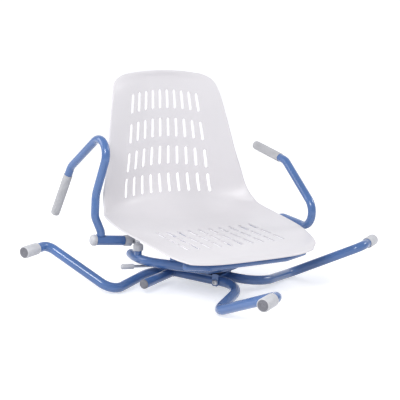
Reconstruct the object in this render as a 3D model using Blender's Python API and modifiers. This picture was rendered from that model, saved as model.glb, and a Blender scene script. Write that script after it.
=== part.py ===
"""Swivel bath seat: slotted moulded seat on a turning tube frame, carried by two bent tubes on the bath rim.

Lengths are in millimetres and become metres in mm(). Z = 0 is the level of the bath rim, and X = Y = 0 is the
swivel axis. X runs along the bath and Y across it. The seat is turned by SEAT_TURN from facing along -Y.
"""
import math

import bmesh
import bpy
from mathutils import Matrix, Vector

# Fits
GAP = 0.3               # space left between two pieces that touch
RUN_GAP = 1.0           # space left between pieces that move past each other
PAD_GAP = 0.8           # space between a spacer and the curved pan over it

# Tubes
TUBE_R = 12.5           # 25 mm steel tube of the base and the turning frame
ARM_TUBE_R = 11.0       # 22 mm steel tube of the arms
BEND_R = 45.0           # usual bend of the base's tubes, on their centre line

# Base: two like tubes across the bath, turned half a turn from each other
RIM_HALF = 349.0        # swivel axis to the outer end of a foot, across the bath
FOOT_SPREAD = 331.0     # swivel axis to the centre line of a foot, along the bath
FOOT_R = 15.5           # plastic foot
FOOT_LENGTH = 49.0
FOOT_PLUG_R = 12.8
FOOT_PLUG_DEPTH = 4.0
FOOT_DISH_R = 8.0
FOOT_DISH_DEPTH = 1.0
FOOT_CHAMFER = 1.5
DROP = 81.0             # foot centre line down to the tubes' middle
LEG_SINK = 16.5         # middle down to where the legs turn up
CROSS_HALF_GAP = 27.0   # swivel axis to the middle straight of a base tube
CROSS_BEND_R = 70.0
MIDDLE_LEFT = -142.0    # ends of the near tube's middle straight
MIDDLE_RIGHT = 120.0
LEFT_LEG_REACH = 221.0  # swivel axis to where a leg turns up
RIGHT_LEG_REACH = 195.0
LEFT_LEG_TOE = -7.0     # how much the legs lean from square
RIGHT_LEG_TOE = 18.0
RISE_BEND_R = 26.0      # bend from the rising tube into the foot
RISE_LEFT_RUN = 91.0    # outer end of a foot to where the rising tube meets its line
RISE_RIGHT_RUN = 79.0
STOP_TUBE_X = -90.0     # short side stop tube on the near base tube
STOP_TUBE_LENGTH = 128.0
STOP_PLUG_DEPTH = 6.0
PLUG_CHAMFER = 0.4      # chamfer of an end plug as a share of its depth

# Swivel hub
HUB_PLATE_MARGIN = 8.0  # plate past the bearing ring, along the bath
HUB_PLATE_CORNER = 12.0
HUB_PLATE_T = 3.5
RING_R = 48.0
RING_BORE_R = 28.0
RING_T = 3.0
SWIVEL_PLATE_HALF = 98.0
SWIVEL_PLATE_FRONT_HALF = 32.0
SWIVEL_PLATE_FRONT = 58.0
SWIVEL_PLATE_REAR = 82.0
SWIVEL_PLATE_CORNER = 12.0
SWIVEL_PLATE_T = 3.0
PIVOT_R = 8.0
PIVOT_END = 3.0         # bolt past its nut
BOLT_CHAMFER = 1.0
PIVOT_HEAD_R = 13.0
PIVOT_HEAD_T = 7.0
PIVOT_WASHER_R = 16.0
PIVOT_WASHER_T = 2.0
PIVOT_NUT_R = 12.5
PIVOT_NUT_T = 9.0

# Index bracket on the near base tube
BRACKET_RING_GAP = 7.5  # between the bracket and the bearing ring
BRACKET_WIDTH = 18.0
BRACKET_T = 4.0
BRACKET_CORNER = 5.0
BRACKET_FOOT = 2.0      # lower end of the bracket above the underside of the tube
BRACKET_BOLT_R = 5.0
BRACKET_BOLT_HEAD_R = 8.0
BRACKET_BOLT_HEAD = 4.5

# Seat direction
SEAT_TURN = math.radians(60.0)

# Turning frame, in the seat's own axes: X to the sitter's left, -Y forward
FRAME_FRONT = 60.0      # swivel axis to the front of the horseshoe
FRAME_FRONT_HALF = 50.0
FRAME_SIDE_INSET = 78.0  # widest part of the horseshoe inside the shell's half width
FRAME_SIDE_Y = 70.0
FRAME_END_INSET = 88.0
FRAME_END_Y = 142.0
FRAME_SIDE_BEND_R = 120.0
FRAME_FRONT_BEND_R = 60.0
FRAME_PLUG_T = 3.0

# Seat shell
WALL = 4.0
RIM_ROLL = 5.0          # radius of the turned-down edge
RIM_ROLL_ANGLES = (math.radians(35.0), math.radians(75.0))
SLOT_CUT_DEPTH = 120.0
SHELL_HALF = 246.0      # half width at the hips
PAN_REACH = 233.0       # swivel axis forward to the front lip
BACK_REACH = 289.0      # swivel axis back to the rearmost surface
PAN_RISE = 80.5         # horseshoe tube's centre line up to the top of the pan
BACK_HEIGHT = 398.0     # pan up to the top edge
UPRIGHT_START = 3.6     # section from which the cross curve changes from pan to back
UPRIGHT_RUN = 2.6       # sections over which it changes
PAN_CURVE = 4.0         # power of the cross curve: higher is flatter with sharper sides
BACK_CURVE = 2.0
BACK_START = 0.36       # share of the shell's length where the back begins to rise
COLUMN_CROWDING = 0.85  # below 1, the shell's facets crowd towards its sides
SLOT_WIDTH = 9.0
BACK_SLOTS = 10
BACK_SLOT_ROWS = 4
BACK_SLOT_LENGTH = 53.0
BACK_SLOT_FIRST = 136.0  # height of the lowest row's middle
BACK_SLOT_ROW_PITCH = 78.8
BACK_SLOT_FAN = math.radians(1.55)  # lean added from one slot of a row to the next
PAN_SLOTS = 10
PAN_SLOT_ROWS = 3
PAN_SLOT_LENGTH = 52.0
PAN_SLOT_FIRST = 4.0    # middle of the rear row, behind the swivel axis
PAN_SLOT_ROW_PITCH = 60.0
PAN_SLOT_PITCH = 31.3
BACK_SLOT_PITCH_LOW = 29.4
BACK_SLOT_PITCH_HIGH = 22.8

# Seat supports
SPACER_R = 9.0
SPACER_Y = 0.0
FRONT_BAR_R = 8.0
FRONT_BAR_INSET = 66.0  # ends of the bar inside the shell's half width
FRONT_BAR_Y = -196.0
FRONT_BAR_RISE = 48.5   # horseshoe tube's centre line up to the bar's
FRONT_BAR_LIFT = 7.0    # ends of the bar above its middle
FRONT_BAR_SWEEP = 12.0  # ends of the bar behind its middle
FRONT_BAR_STRAIGHT = 0.62
FRONT_BAR_BEND_R = 60.0
FRONT_SPACER_INSET = 84.0  # spacer from the bar's end
STRUT_X = 22.0
STRUT_R = 6.0
STRUT_BEND_R = 25.0

# Arm pivots
PIVOT_Y = 150.0
PIVOT_UNDERCUT = 2.0    # arm pivot's end inside the shell's edge
PIVOT_RISE = 42.9       # horseshoe tube's centre line up to the arm pivot
PIVOT_TILT = math.radians(6.0)
SLEEVE_R = 13.5
SLEEVE_IN = 68.0        # length of the sleeve inside the arm's tube
SLEEVE_WALL = 4.0
SLEEVE_OVER = 2.5       # sleeve past the outer side of the arm tube
AXLE_R = 8.5
COLLAR_R = 15.0
COLLAR_LENGTH = 20.0
COLLAR_CHAMFER = 1.5
AXLE_BEND_RUN = 17.0    # collar to where the axle turns forward
AXLE_BEND_R = 10.0
POST_Y = 94.0           # post of an arm pivot, on the horseshoe tube
POST_R = 10.0
POST_CAP_R = 13.5
POST_CAP_LENGTH = 20.0
POST_CAP_FLANK = 12.0
CAP_R = 15.0
CAP_LENGTH = 17.0
CAP_FLANK = 8.0         # straight side of the cap
CAP_STEM = 12.0
CAP_CHAMFER = 1.2
DOME_SHAPE = ((0.5, 0.86), (0.85, 0.5), (1.0, 0.0))  # shares of a dome's radius and rise

# Arms, in their own plane: forward and up from the pivot, then out
ARM_STEP_FORWARD = 111.0
ARM_LOW = 45.0
ARM_REACH = 248.0
ARM_TURN_R = 42.0
ARM_TOP_FORWARD = 113.0
ARM_TOP = 206.0
ARM_TOP_R = 40.0
GRIP_END_BACK = 46.0
GRIP_END_UP = 224.0
GRIP_LENGTH = 133.0
GRIP_R = 12.2
GRIP_FLUTES = 10
GRIP_FLUTE_DEPTH = 0.5
GRIP_END_WALL = 5.0
GRIP_ROUNDING = 4.0     # rounding of the grip's closed end
ARM_START = 0.18        # share of the step up that runs straight from the sleeve
ARM_MIDDLE = 0.52       # share of the step up where the tube is fully outside the shell
ARM_START_R = 30.0
ARM_MIDDLE_R = 40.0
ARM_LOW_R = 55.0
ARM_SHELL_GAP = 8.5     # between the shell's edge and the arm's tube
ARM_LOW_FLARE = 2.0     # outward set from there along the arm
ARM_FRONT_FLARE = -3.5
ARM_TOP_FLARE = 14.5
ARM_END_FLARE = 21.5
RIGHT_ARM_RAISED = math.radians(73.5)

# Lock lever
LEVER_R = 3.5
LEVER_PIVOT_X = -82.0
LEVER_PIVOT_Y = 66.0
LEVER_ANGLE = math.radians(165.5)
LEVER_LENGTH = 94.0    # pivot to the plastic tip
LEVER_EYE_R = 10.0
LEVER_EYE_T = 4.0
LEVER_PIN_R = 4.0
LEVER_HEAD_R = 7.0
LEVER_HEAD_T = 2.0
LEVER_TIP_R = 7.0
LEVER_TIP_LENGTH = 36.0
LEVER_TIP_DOME = 5.0

# Facets
ROUND = 20              # sides of a turned piece
SMALL_ROUND = 16        # sides of a small turned piece or hole
RING_ROUND = 28         # sides of the bearing rings
ARC_STEP = 18.0         # degrees of a bend between two rings of its tube
TUBE_SIDES = 3          # bevel resolution of the main tubes
THIN_SIDES = 2          # bevel resolution of the thin bars
SHELL_ROWS = 26
SHELL_COLUMNS = 18
HALVINGS = 40           # steps of a search by halving

# Colours: linear red, green, blue, then roughness and metallic
FINISHES = {
    "blue_paint": ((0.055, 0.16, 0.42, 1.0), 0.25, 0.0),
    "white_shell": ((0.80, 0.78, 0.82, 1.0), 0.35, 0.0),
    "white_plastic": ((0.78, 0.78, 0.80, 1.0), 0.40, 0.0),
    "grip_plastic": ((0.62, 0.62, 0.64, 1.0), 0.50, 0.0),
    "grey_plastic": ((0.22, 0.22, 0.24, 1.0), 0.50, 0.0),
    "bearing_plastic": ((0.03, 0.03, 0.035, 1.0), 0.45, 0.0),
    "zinc_steel": ((0.55, 0.56, 0.58, 1.0), 0.35, 1.0),
}


def mm(value):
    """Metres from millimetres, for a number or a vector."""
    return value * 0.001


def mm_vector(x, y, z):
    return Vector((mm(x), mm(y), mm(z)))


def clear_scene():
    for old in list(bpy.data.objects):
        bpy.data.objects.remove(old, do_unlink=True)
    for old in list(bpy.data.collections):
        bpy.data.collections.remove(old)


def new_collection(name):
    made = bpy.data.collections.new(name)
    bpy.context.scene.collection.children.link(made)
    return made


def finish(name):
    made = bpy.data.materials.get(name)
    if made is None:
        colour, roughness, metallic = FINISHES[name]
        made = bpy.data.materials.new(name)
        made.use_nodes = True
        shader = made.node_tree.nodes["Principled BSDF"]
        shader.inputs["Base Color"].default_value = colour
        shader.inputs["Roughness"].default_value = roughness
        shader.inputs["Metallic"].default_value = metallic
    return made


def place(made, parent, matrix):
    """Puts an object in its parent's axes."""
    made.parent = parent
    made.matrix_local = matrix
    return made


def add_mesh(name, mesh, material, parent=None, matrix=None, collection=None):
    made = bpy.data.objects.new(name, mesh)
    (collection or PARTS).objects.link(made)
    mesh.materials.clear()
    mesh.materials.append(finish(material))
    place(made, parent, matrix or Matrix.Identity(4))
    return made


def smooth(mesh, degrees=35.0):
    mesh.shade_smooth()
    mesh.set_sharp_from_angle(angle=math.radians(degrees))


def evaluated_mesh(made):
    """A plain mesh of an object's shape with its modifiers in place."""
    bpy.context.view_layer.update()
    graph = bpy.context.evaluated_depsgraph_get()
    mesh = bpy.data.meshes.new_from_object(made.evaluated_get(graph))
    return mesh


def weld(mesh, distance=0.01):
    bm = bmesh.new()
    bm.from_mesh(mesh)
    bmesh.ops.remove_doubles(bm, verts=bm.verts, dist=mm(distance))
    bmesh.ops.recalc_face_normals(bm, faces=bm.faces)
    bm.to_mesh(mesh)
    bm.free()
    return mesh


def axis_matrix(start, end):
    """Axes at start whose Z points at end, both in millimetres."""
    direction = Vector(end) - Vector(start)
    turn = direction.to_track_quat("Z", "Y").to_matrix().to_4x4()
    return Matrix.Translation(mm_vector(*start)) @ turn


def filleted_path(corners):
    """Points along straight runs joined by arcs. A corner is (x, y, z) or (x, y, z, bend radius)."""
    points = [Vector(corners[0][:3])]
    for before, corner, after in zip(corners, corners[1:], corners[2:]):
        here = Vector(corner[:3])
        back = (Vector(before[:3]) - here).normalized()
        ahead = (Vector(after[:3]) - here).normalized()
        radius = corner[3]
        half = back.angle(ahead) / 2.0
        turn = math.pi - 2.0 * half
        centre = here + (back + ahead).normalized() * (radius / math.sin(half))
        tangent = radius / math.tan(half)
        start = here + back * tangent
        steps = max(2, round(math.degrees(turn) / ARC_STEP))
        normal = (start - centre).cross(here + ahead * tangent - centre).normalized()
        for step in range(steps + 1):
            turned = Matrix.Rotation(turn * step / steps, 3, normal) @ (start - centre)
            points.append(centre + turned)
    points.append(Vector(corners[-1][:3]))
    return points


def tube_mesh(points, radius, resolution=TUBE_SIDES):
    """A round bar along points, with its ends closed."""
    curve = bpy.data.curves.new("tube", "CURVE")
    curve.dimensions = "3D"
    curve.bevel_depth = mm(radius)
    curve.bevel_resolution = resolution
    curve.use_fill_caps = True
    curve.twist_mode = "MINIMUM"
    spline = curve.splines.new("POLY")
    spline.points.add(len(points) - 1)
    for target, point in zip(spline.points, points):
        target.co = (mm(point[0]), mm(point[1]), mm(point[2]), 1.0)
    guide = bpy.data.objects.new("tube_guide", curve)
    bpy.context.scene.collection.objects.link(guide)
    mesh = evaluated_mesh(guide)
    bpy.data.objects.remove(guide, do_unlink=True)
    bpy.data.curves.remove(curve)
    weld(mesh)
    smooth(mesh)
    return mesh


def add_tube(name, points, radius, material, parent=None, resolution=TUBE_SIDES):
    return add_mesh(name, tube_mesh(points, radius, resolution), material, parent)


def turned_mesh(profile, steps=ROUND):
    """A turned piece about Z. The profile is (radius, height), down the outer side and back up the bore."""
    mesh = bpy.data.meshes.new("turned")
    bm = bmesh.new()
    verts = [bm.verts.new((mm(r), 0.0, mm(z))) for r, z in profile]
    for index, (radius, _) in enumerate(profile):
        after = (index + 1) % len(profile)
        if radius > 0.0 or profile[after][0] > 0.0:
            bm.edges.new((verts[index], verts[after]))
    bm.to_mesh(mesh)
    bm.free()
    guide = bpy.data.objects.new("turned_guide", mesh)
    bpy.context.scene.collection.objects.link(guide)
    screw = guide.modifiers.new("turn", "SCREW")
    screw.axis = "Z"
    screw.steps = steps
    screw.render_steps = steps
    screw.use_merge_vertices = True
    screw.merge_threshold = 0.00001
    made = evaluated_mesh(guide)
    bpy.data.objects.remove(guide, do_unlink=True)
    smooth(made)
    return made


def add_turned(name, profile, material, parent=None, matrix=None, steps=ROUND):
    return add_mesh(name, turned_mesh(profile, steps), material, parent, matrix)


def ring_profile(outer, bore, bottom, top):
    """Outer side top to bottom, then the bore from bottom to top."""
    return [(outer, top), (outer, bottom), (bore, bottom), (bore, top)]


def flat_mesh(outline, thickness, holes=()):
    """A plate from a 2D outline, lying on Z = 0 and rising by its thickness."""
    curve = bpy.data.curves.new("flat", "CURVE")
    curve.dimensions = "2D"
    curve.fill_mode = "BOTH"
    curve.extrude = mm(thickness / 2.0)
    for loop in (outline, *holes):
        spline = curve.splines.new("POLY")
        spline.points.add(len(loop) - 1)
        for target, point in zip(spline.points, loop):
            target.co = (mm(point[0]), mm(point[1]), 0.0, 1.0)
        spline.use_cyclic_u = True
    guide = bpy.data.objects.new("flat_guide", curve)
    bpy.context.scene.collection.objects.link(guide)
    mesh = evaluated_mesh(guide)
    bpy.data.objects.remove(guide, do_unlink=True)
    bpy.data.curves.remove(curve)
    weld(mesh)
    mesh.transform(Matrix.Translation((0.0, 0.0, mm(thickness / 2.0))))
    return mesh


def circle(radius, centre=(0.0, 0.0), count=ROUND):
    return [(centre[0] + radius * math.cos(2.0 * math.pi * i / count),
             centre[1] + radius * math.sin(2.0 * math.pi * i / count)) for i in range(count)]


def rounded_rectangle(left, right, front, rear, radius, steps=3):
    """Outline with rounded corners, anticlockwise."""
    points = []
    for cx, cy, first in ((right - radius, rear - radius, 0.0), (left + radius, rear - radius, 90.0),
                          (left + radius, front + radius, 180.0), (right - radius, front + radius, 270.0)):
        for step in range(steps + 1):
            angle = math.radians(first + 90.0 * step / steps)
            points.append((cx + radius * math.cos(angle), cy + radius * math.sin(angle)))
    return points


def rounded_polygon(corners, radius):
    """Outline of a polygon with its corners rounded."""
    points = []
    count = len(corners)
    for index, corner in enumerate(corners):
        before = corners[index - 1]
        after = corners[(index + 1) % count]
        leg = filleted_path([(*before, 0.0), (*corner, 0.0, radius), (*after, 0.0)])
        points += [(point.x, point.y) for point in leg[1:-1]]
    return points


def slot_outline(width, length, steps=3):
    """A slot with round ends, its length along Y."""
    radius = width / 2.0
    straight = length / 2.0 - radius
    points = []
    for centre, first in ((straight, 0.0), (-straight, 180.0)):
        for step in range(steps + 1):
            angle = math.radians(first + 180.0 * step / steps)
            points.append((radius * math.cos(angle), centre + radius * math.sin(angle)))
    return points


def boolean(target, cutter, operation="DIFFERENCE"):
    """Applies one exact Boolean and keeps the result as the target's own mesh."""
    modifier = target.modifiers.new("cut", "BOOLEAN")
    modifier.operation = operation
    modifier.solver = "EXACT"
    modifier.object = cutter
    mesh = evaluated_mesh(target)
    target.modifiers.clear()
    old = target.data
    target.data = mesh
    bpy.data.meshes.remove(old)
    return target


def add_cutter(name, mesh, parent=None, matrix=None):
    made = bpy.data.objects.new(name, mesh)
    CUTTERS.objects.link(made)
    place(made, parent, matrix or Matrix.Identity(4))
    made.hide_render = True
    made.display_type = "WIRE"
    return made


def add_empty(name, parent=None, matrix=None):
    made = bpy.data.objects.new(name, None)
    PARTS.objects.link(made)
    place(made, parent, matrix or Matrix.Identity(4))
    return made


# Levels of the hub stack, from the base tubes up
FOOT_LEVEL = FOOT_R
TUBE_LEVEL = FOOT_LEVEL - DROP
LEG_LEVEL = TUBE_LEVEL - LEG_SINK
BASE_PLATE_Z = TUBE_LEVEL + TUBE_R + GAP
LOWER_RING_Z = BASE_PLATE_Z + HUB_PLATE_T + GAP
UPPER_RING_Z = LOWER_RING_Z + RING_T + GAP
SWIVEL_PLATE_Z = UPPER_RING_Z + RING_T + GAP
SWIVEL_PLATE_TOP = SWIVEL_PLATE_Z + SWIVEL_PLATE_T
FRAME_LEVEL = SWIVEL_PLATE_TOP + GAP + TUBE_R

# Levels of what the turning frame carries
PAN_LEVEL = FRAME_LEVEL + PAN_RISE
FRONT_BAR_Z = FRAME_LEVEL + FRONT_BAR_RISE
PIVOT_Z = FRAME_LEVEL + PIVOT_RISE

# Sizes that follow from others
PIVOT_HALF = SHELL_HALF - PIVOT_UNDERCUT
ARM_OUT_STEP = SHELL_HALF + ARM_SHELL_GAP + ARM_TUBE_R - PIVOT_HALF
FRONT_BAR_HALF = SHELL_HALF - FRONT_BAR_INSET
FRONT_SPACER_X = FRONT_BAR_HALF - FRONT_SPACER_INSET
BASE_FACE_Y = -CROSS_HALF_GAP - TUBE_R
SLEEVE_END = ARM_TUBE_R + SLEEVE_OVER


def base_tube_points():
    """Centre line of the near base tube, from its left foot to its right one."""
    tube_end = -RIM_HALF + FOOT_PLUG_DEPTH + GAP
    return filleted_path([
        (-FOOT_SPREAD, tube_end, FOOT_LEVEL),
        (-FOOT_SPREAD, -RIM_HALF + RISE_LEFT_RUN, FOOT_LEVEL, RISE_BEND_R),
        (MIDDLE_LEFT + LEFT_LEG_TOE, -LEFT_LEG_REACH, LEG_LEVEL, BEND_R),
        (MIDDLE_LEFT, -CROSS_HALF_GAP, TUBE_LEVEL, CROSS_BEND_R),
        (MIDDLE_RIGHT, -CROSS_HALF_GAP, TUBE_LEVEL, CROSS_BEND_R),
        (MIDDLE_RIGHT + RIGHT_LEG_TOE, -RIGHT_LEG_REACH, LEG_LEVEL, BEND_R),
        (FOOT_SPREAD, -RIM_HALF + RISE_RIGHT_RUN, FOOT_LEVEL, RISE_BEND_R),
        (FOOT_SPREAD, tube_end, FOOT_LEVEL),
    ])


def add_base_tubes():
    half_turn = Matrix.Rotation(math.pi, 4, "Z")
    for name, turn in (("base_tube_near", Matrix.Identity(4)), ("base_tube_far", half_turn)):
        add_mesh(name, tube_mesh(base_tube_points(), TUBE_R), "blue_paint", None, turn)


def foot_profile():
    """Foot sleeve about Z, its outer end at Z = 0 and its open end at its length."""
    bore = TUBE_R + GAP
    mouth = FOOT_PLUG_R + GAP
    edge = FOOT_R - FOOT_CHAMFER
    return [(edge, FOOT_LENGTH), (FOOT_R, FOOT_LENGTH - FOOT_CHAMFER), (FOOT_R, FOOT_CHAMFER), (edge, 0.0),
            (mouth, 0.0), (mouth, FOOT_PLUG_DEPTH), (bore, FOOT_PLUG_DEPTH), (bore, FOOT_LENGTH)]


def foot_plug_profile():
    """Plug in the outer end of a foot, its face a flat ring round a shallow dish."""
    back = FOOT_PLUG_DEPTH - GAP
    return [(0.0, back), (FOOT_PLUG_R, back), (FOOT_PLUG_R, 0.0), (FOOT_DISH_R, 0.0),
            (FOOT_DISH_R - FOOT_DISH_DEPTH, FOOT_DISH_DEPTH), (0.0, FOOT_DISH_DEPTH)]


def add_feet():
    corners = (("near_left", -1, -1), ("near_right", 1, -1), ("far_right", 1, 1), ("far_left", -1, 1))
    for name, sx, sy in corners:
        outer = (sx * FOOT_SPREAD, sy * RIM_HALF, FOOT_LEVEL)
        inner = (sx * FOOT_SPREAD, sy * (RIM_HALF - FOOT_LENGTH), FOOT_LEVEL)
        matrix = axis_matrix(outer, inner)
        add_turned("foot_" + name, foot_profile(), "white_plastic", None, matrix)
        add_turned("foot_plug_" + name, foot_plug_profile(), "grey_plastic", None, matrix)


def plug_profile(radius, depth):
    """End plug standing on Z = 0 with a wide chamfer round its outer face."""
    chamfer = depth * PLUG_CHAMFER
    return [(0.0, depth), (radius - chamfer, depth), (radius, depth - chamfer), (radius, 0.0), (0.0, 0.0)]


def rod_profile(radius, bottom, top):
    return [(0.0, top), (radius, top), (radius, bottom), (0.0, bottom)]


def dome_profile(radius, length, flank):
    """Domed cap from its top down to a straight flank of the given length, standing on Z = 0."""
    rise = length - flank
    return [(0.0, length)] + [(radius * across, flank + rise * up) for across, up in DOME_SHAPE] \
        + [(radius, CAP_CHAMFER), (radius - CAP_CHAMFER, 0.0)]


def add_side_stop():
    """Short tube welded to the near base tube, with a plug in its end."""
    end_y = BASE_FACE_Y - STOP_TUBE_LENGTH
    start = (STOP_TUBE_X, -CROSS_HALF_GAP, TUBE_LEVEL)
    end = (STOP_TUBE_X, end_y, TUBE_LEVEL)
    tube = add_tube("side_stop_tube", [start, end], TUBE_R, "blue_paint", None)
    boolean(tube, add_cutter("side_stop_cope", tube_mesh(base_tube_points(), TUBE_R + GAP)))
    smooth(tube.data)
    profile = plug_profile(TUBE_R, STOP_PLUG_DEPTH)
    start = (STOP_TUBE_X, end_y - GAP, TUBE_LEVEL)
    matrix = axis_matrix(start, (STOP_TUBE_X, end_y - 1.0, TUBE_LEVEL))
    add_turned("side_stop_plug", profile, "grey_plastic", None, matrix)


def add_hub_base():
    """The parts of the hub that stay with the base, and the pivot bolt through it."""
    half = RING_R + HUB_PLATE_MARGIN
    outline = rounded_rectangle(-half, half, BASE_FACE_Y, -BASE_FACE_Y, HUB_PLATE_CORNER)
    plate = flat_mesh(outline, HUB_PLATE_T, [circle(PIVOT_R + GAP)])
    add_mesh("hub_base_plate", plate, "blue_paint", None, Matrix.Translation((0.0, 0.0, mm(BASE_PLATE_Z))))
    ring = ring_profile(RING_R, RING_BORE_R, LOWER_RING_Z, LOWER_RING_Z + RING_T)
    add_turned("bearing_ring_lower", ring, "bearing_plastic", steps=RING_ROUND)
    bolt_bottom = BASE_PLATE_Z - GAP
    washer_z = SWIVEL_PLATE_TOP + GAP
    nut_z = washer_z + PIVOT_WASHER_T + GAP
    nut_top = nut_z + PIVOT_NUT_T
    bolt_top = nut_top + PIVOT_END
    head_low = bolt_bottom - PIVOT_HEAD_T
    bolt = [(0.0, bolt_top), (PIVOT_R - BOLT_CHAMFER, bolt_top), (PIVOT_R, bolt_top - BOLT_CHAMFER),
            (PIVOT_R, bolt_bottom), (PIVOT_HEAD_R, bolt_bottom), (PIVOT_HEAD_R, head_low + BOLT_CHAMFER),
            (PIVOT_HEAD_R - BOLT_CHAMFER, head_low), (0.0, head_low)]
    add_turned("pivot_bolt", bolt, "zinc_steel")
    washer = ring_profile(PIVOT_WASHER_R, PIVOT_R + GAP, washer_z, washer_z + PIVOT_WASHER_T)
    add_turned("pivot_washer", washer, "zinc_steel")
    nut = flat_mesh(circle(PIVOT_NUT_R, count=6), PIVOT_NUT_T, [circle(PIVOT_R + GAP)])
    add_mesh("pivot_nut", nut, "zinc_steel", None, Matrix.Translation((0.0, 0.0, mm(nut_z))))


def add_index_bracket():
    """Upright strap bolted to the near base tube beside the hub."""
    face_y = BASE_FACE_Y - GAP
    bottom = TUBE_LEVEL - TUBE_R + BRACKET_FOOT
    height = SWIVEL_PLATE_Z - RUN_GAP - bottom
    half = BRACKET_WIDTH / 2.0
    centre_x = math.sqrt((RING_R + BRACKET_RING_GAP) ** 2 - face_y ** 2) + half
    hole = circle(BRACKET_BOLT_R + GAP, (0.0, TUBE_LEVEL - bottom), SMALL_ROUND)
    strap = flat_mesh(rounded_rectangle(-half, half, 0.0, height, BRACKET_CORNER), BRACKET_T, [hole])
    upright = Matrix.Rotation(math.radians(90.0), 4, "X")
    add_mesh("index_bracket", strap, "blue_paint", None,
             Matrix.Translation(mm_vector(centre_x, face_y, bottom)) @ upright)
    head_y = face_y - BRACKET_T - GAP
    dome = [(BRACKET_BOLT_HEAD_R * across, BRACKET_BOLT_HEAD * up) for across, up in DOME_SHAPE]
    profile = [(0.0, BRACKET_BOLT_HEAD), *dome,
               (BRACKET_BOLT_R, 0.0), (BRACKET_BOLT_R, -BRACKET_T), (0.0, -BRACKET_T)]
    matrix = axis_matrix((centre_x, head_y, TUBE_LEVEL), (centre_x, head_y - 1.0, TUBE_LEVEL))
    add_turned("index_bracket_bolt", profile, "zinc_steel", None, matrix, SMALL_ROUND)


def frame_points():
    """Centre line of the horseshoe tube, left end to right end."""
    left = [
        (-SHELL_HALF + FRAME_END_INSET, FRAME_END_Y, FRAME_LEVEL),
        (-SHELL_HALF + FRAME_SIDE_INSET, FRAME_SIDE_Y, FRAME_LEVEL, FRAME_SIDE_BEND_R),
        (-FRAME_FRONT_HALF, -FRAME_FRONT, FRAME_LEVEL, FRAME_FRONT_BEND_R),
    ]
    right = [(-corner[0],) + corner[1:] for corner in reversed(left)]
    return filleted_path(left + right)


def frame_half_at(y):
    """Distance from the middle to the horseshoe tube's centre line at a place along it."""
    points = [point for point in frame_points() if point.x > 0.0]
    for front, rear in zip(points, points[1:]):
        if front.y <= y <= rear.y:
            return front.x + (rear.x - front.x) * (y - front.y) / (rear.y - front.y)
    return points[-1].x


def frame_cope():
    """A bar round the horseshoe tube that clears what stands on it."""
    return tube_mesh(frame_points(), TUBE_R + GAP, TUBE_SIDES + 1)


def add_seat_frame(seat):
    """The turning frame: swivel plate, upper ring, horseshoe tube and its end plugs."""
    corners = [(SWIVEL_PLATE_HALF, 0.0), (SWIVEL_PLATE_HALF, SWIVEL_PLATE_REAR),
               (-SWIVEL_PLATE_HALF, SWIVEL_PLATE_REAR), (-SWIVEL_PLATE_HALF, 0.0),
               (-SWIVEL_PLATE_FRONT_HALF, -SWIVEL_PLATE_FRONT),
               (SWIVEL_PLATE_FRONT_HALF, -SWIVEL_PLATE_FRONT)]
    lever_hole = circle(LEVER_PIN_R + GAP, (LEVER_PIVOT_X, LEVER_PIVOT_Y), SMALL_ROUND)
    plate = flat_mesh(rounded_polygon(corners, SWIVEL_PLATE_CORNER), SWIVEL_PLATE_T,
                      [circle(PIVOT_R + RUN_GAP), lever_hole])
    add_mesh("swivel_plate", plate, "blue_paint", seat,
             Matrix.Translation((0.0, 0.0, mm(SWIVEL_PLATE_Z))))
    ring = ring_profile(RING_R, RING_BORE_R, UPPER_RING_Z, UPPER_RING_Z + RING_T)
    add_turned("bearing_ring_upper", ring, "bearing_plastic", seat, steps=RING_ROUND)
    points = frame_points()
    add_tube("seat_frame_tube", points, TUBE_R, "blue_paint", seat, TUBE_SIDES + 1)
    for name, end, inner in (("right", points[-1], points[-2]), ("left", points[0], points[1])):
        ahead = (Vector(end) - Vector(inner)).normalized()
        start = Vector(end) + ahead * GAP
        outward = axis_matrix(start, start + ahead)
        add_turned("frame_plug_" + name, plug_profile(TUBE_R, FRAME_PLUG_T), "white_plastic", seat, outward)


def shell_stations():
    """Sections of the shell, front lip to top edge: centre y, z, then edge x, y, z, all from named sizes.

    Forward distances are shares of the pan's reach, rearward ones of the back's reach, heights above the
    pan are shares of the back's height, and half widths are shares of the hip width.
    """
    sections = [
        ((-1.00, -0.026), (0.735, -0.925, -0.016)),
        ((-0.90, -0.009), (0.870, -0.755, 0.010)),
        ((-0.56, 0.000), (0.953, -0.370, 0.039)),
        ((0.07, 0.000), (0.997, 0.125, 0.055)),
        ((0.57, 0.022), (0.985, 0.436, 0.078)),
        ((0.81, 0.085), (0.952, 0.530, 0.112)),
        ((0.905, 0.230), (0.915, 0.622, 0.193)),
        ((0.922, 0.400), (0.868, 0.665, 0.308)),
        ((0.930, 0.537), (0.818, 0.720, 0.442)),
        ((0.962, 0.745), (0.752, 0.806, 0.660)),
        ((0.990, 0.905), (0.690, 0.878, 0.838)),
        ((0.995, 0.955), (0.650, 0.925, 0.912)),
        ((0.986, 0.978), (0.565, 0.955, 0.954)),
        ((0.982, 0.988), (0.430, 0.970, 0.975)),
    ]
    made = []
    for (cy, cz), (ex, ey, ez) in sections:
        centre_reach = PAN_REACH if cy < 0.0 else BACK_REACH
        edge_reach = PAN_REACH if ey < 0.0 else BACK_REACH
        made.append((cy * centre_reach, PAN_LEVEL + cz * BACK_HEIGHT,
                     ex * SHELL_HALF - RIM_ROLL, ey * edge_reach, PAN_LEVEL + ez * BACK_HEIGHT))
    return made


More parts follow.
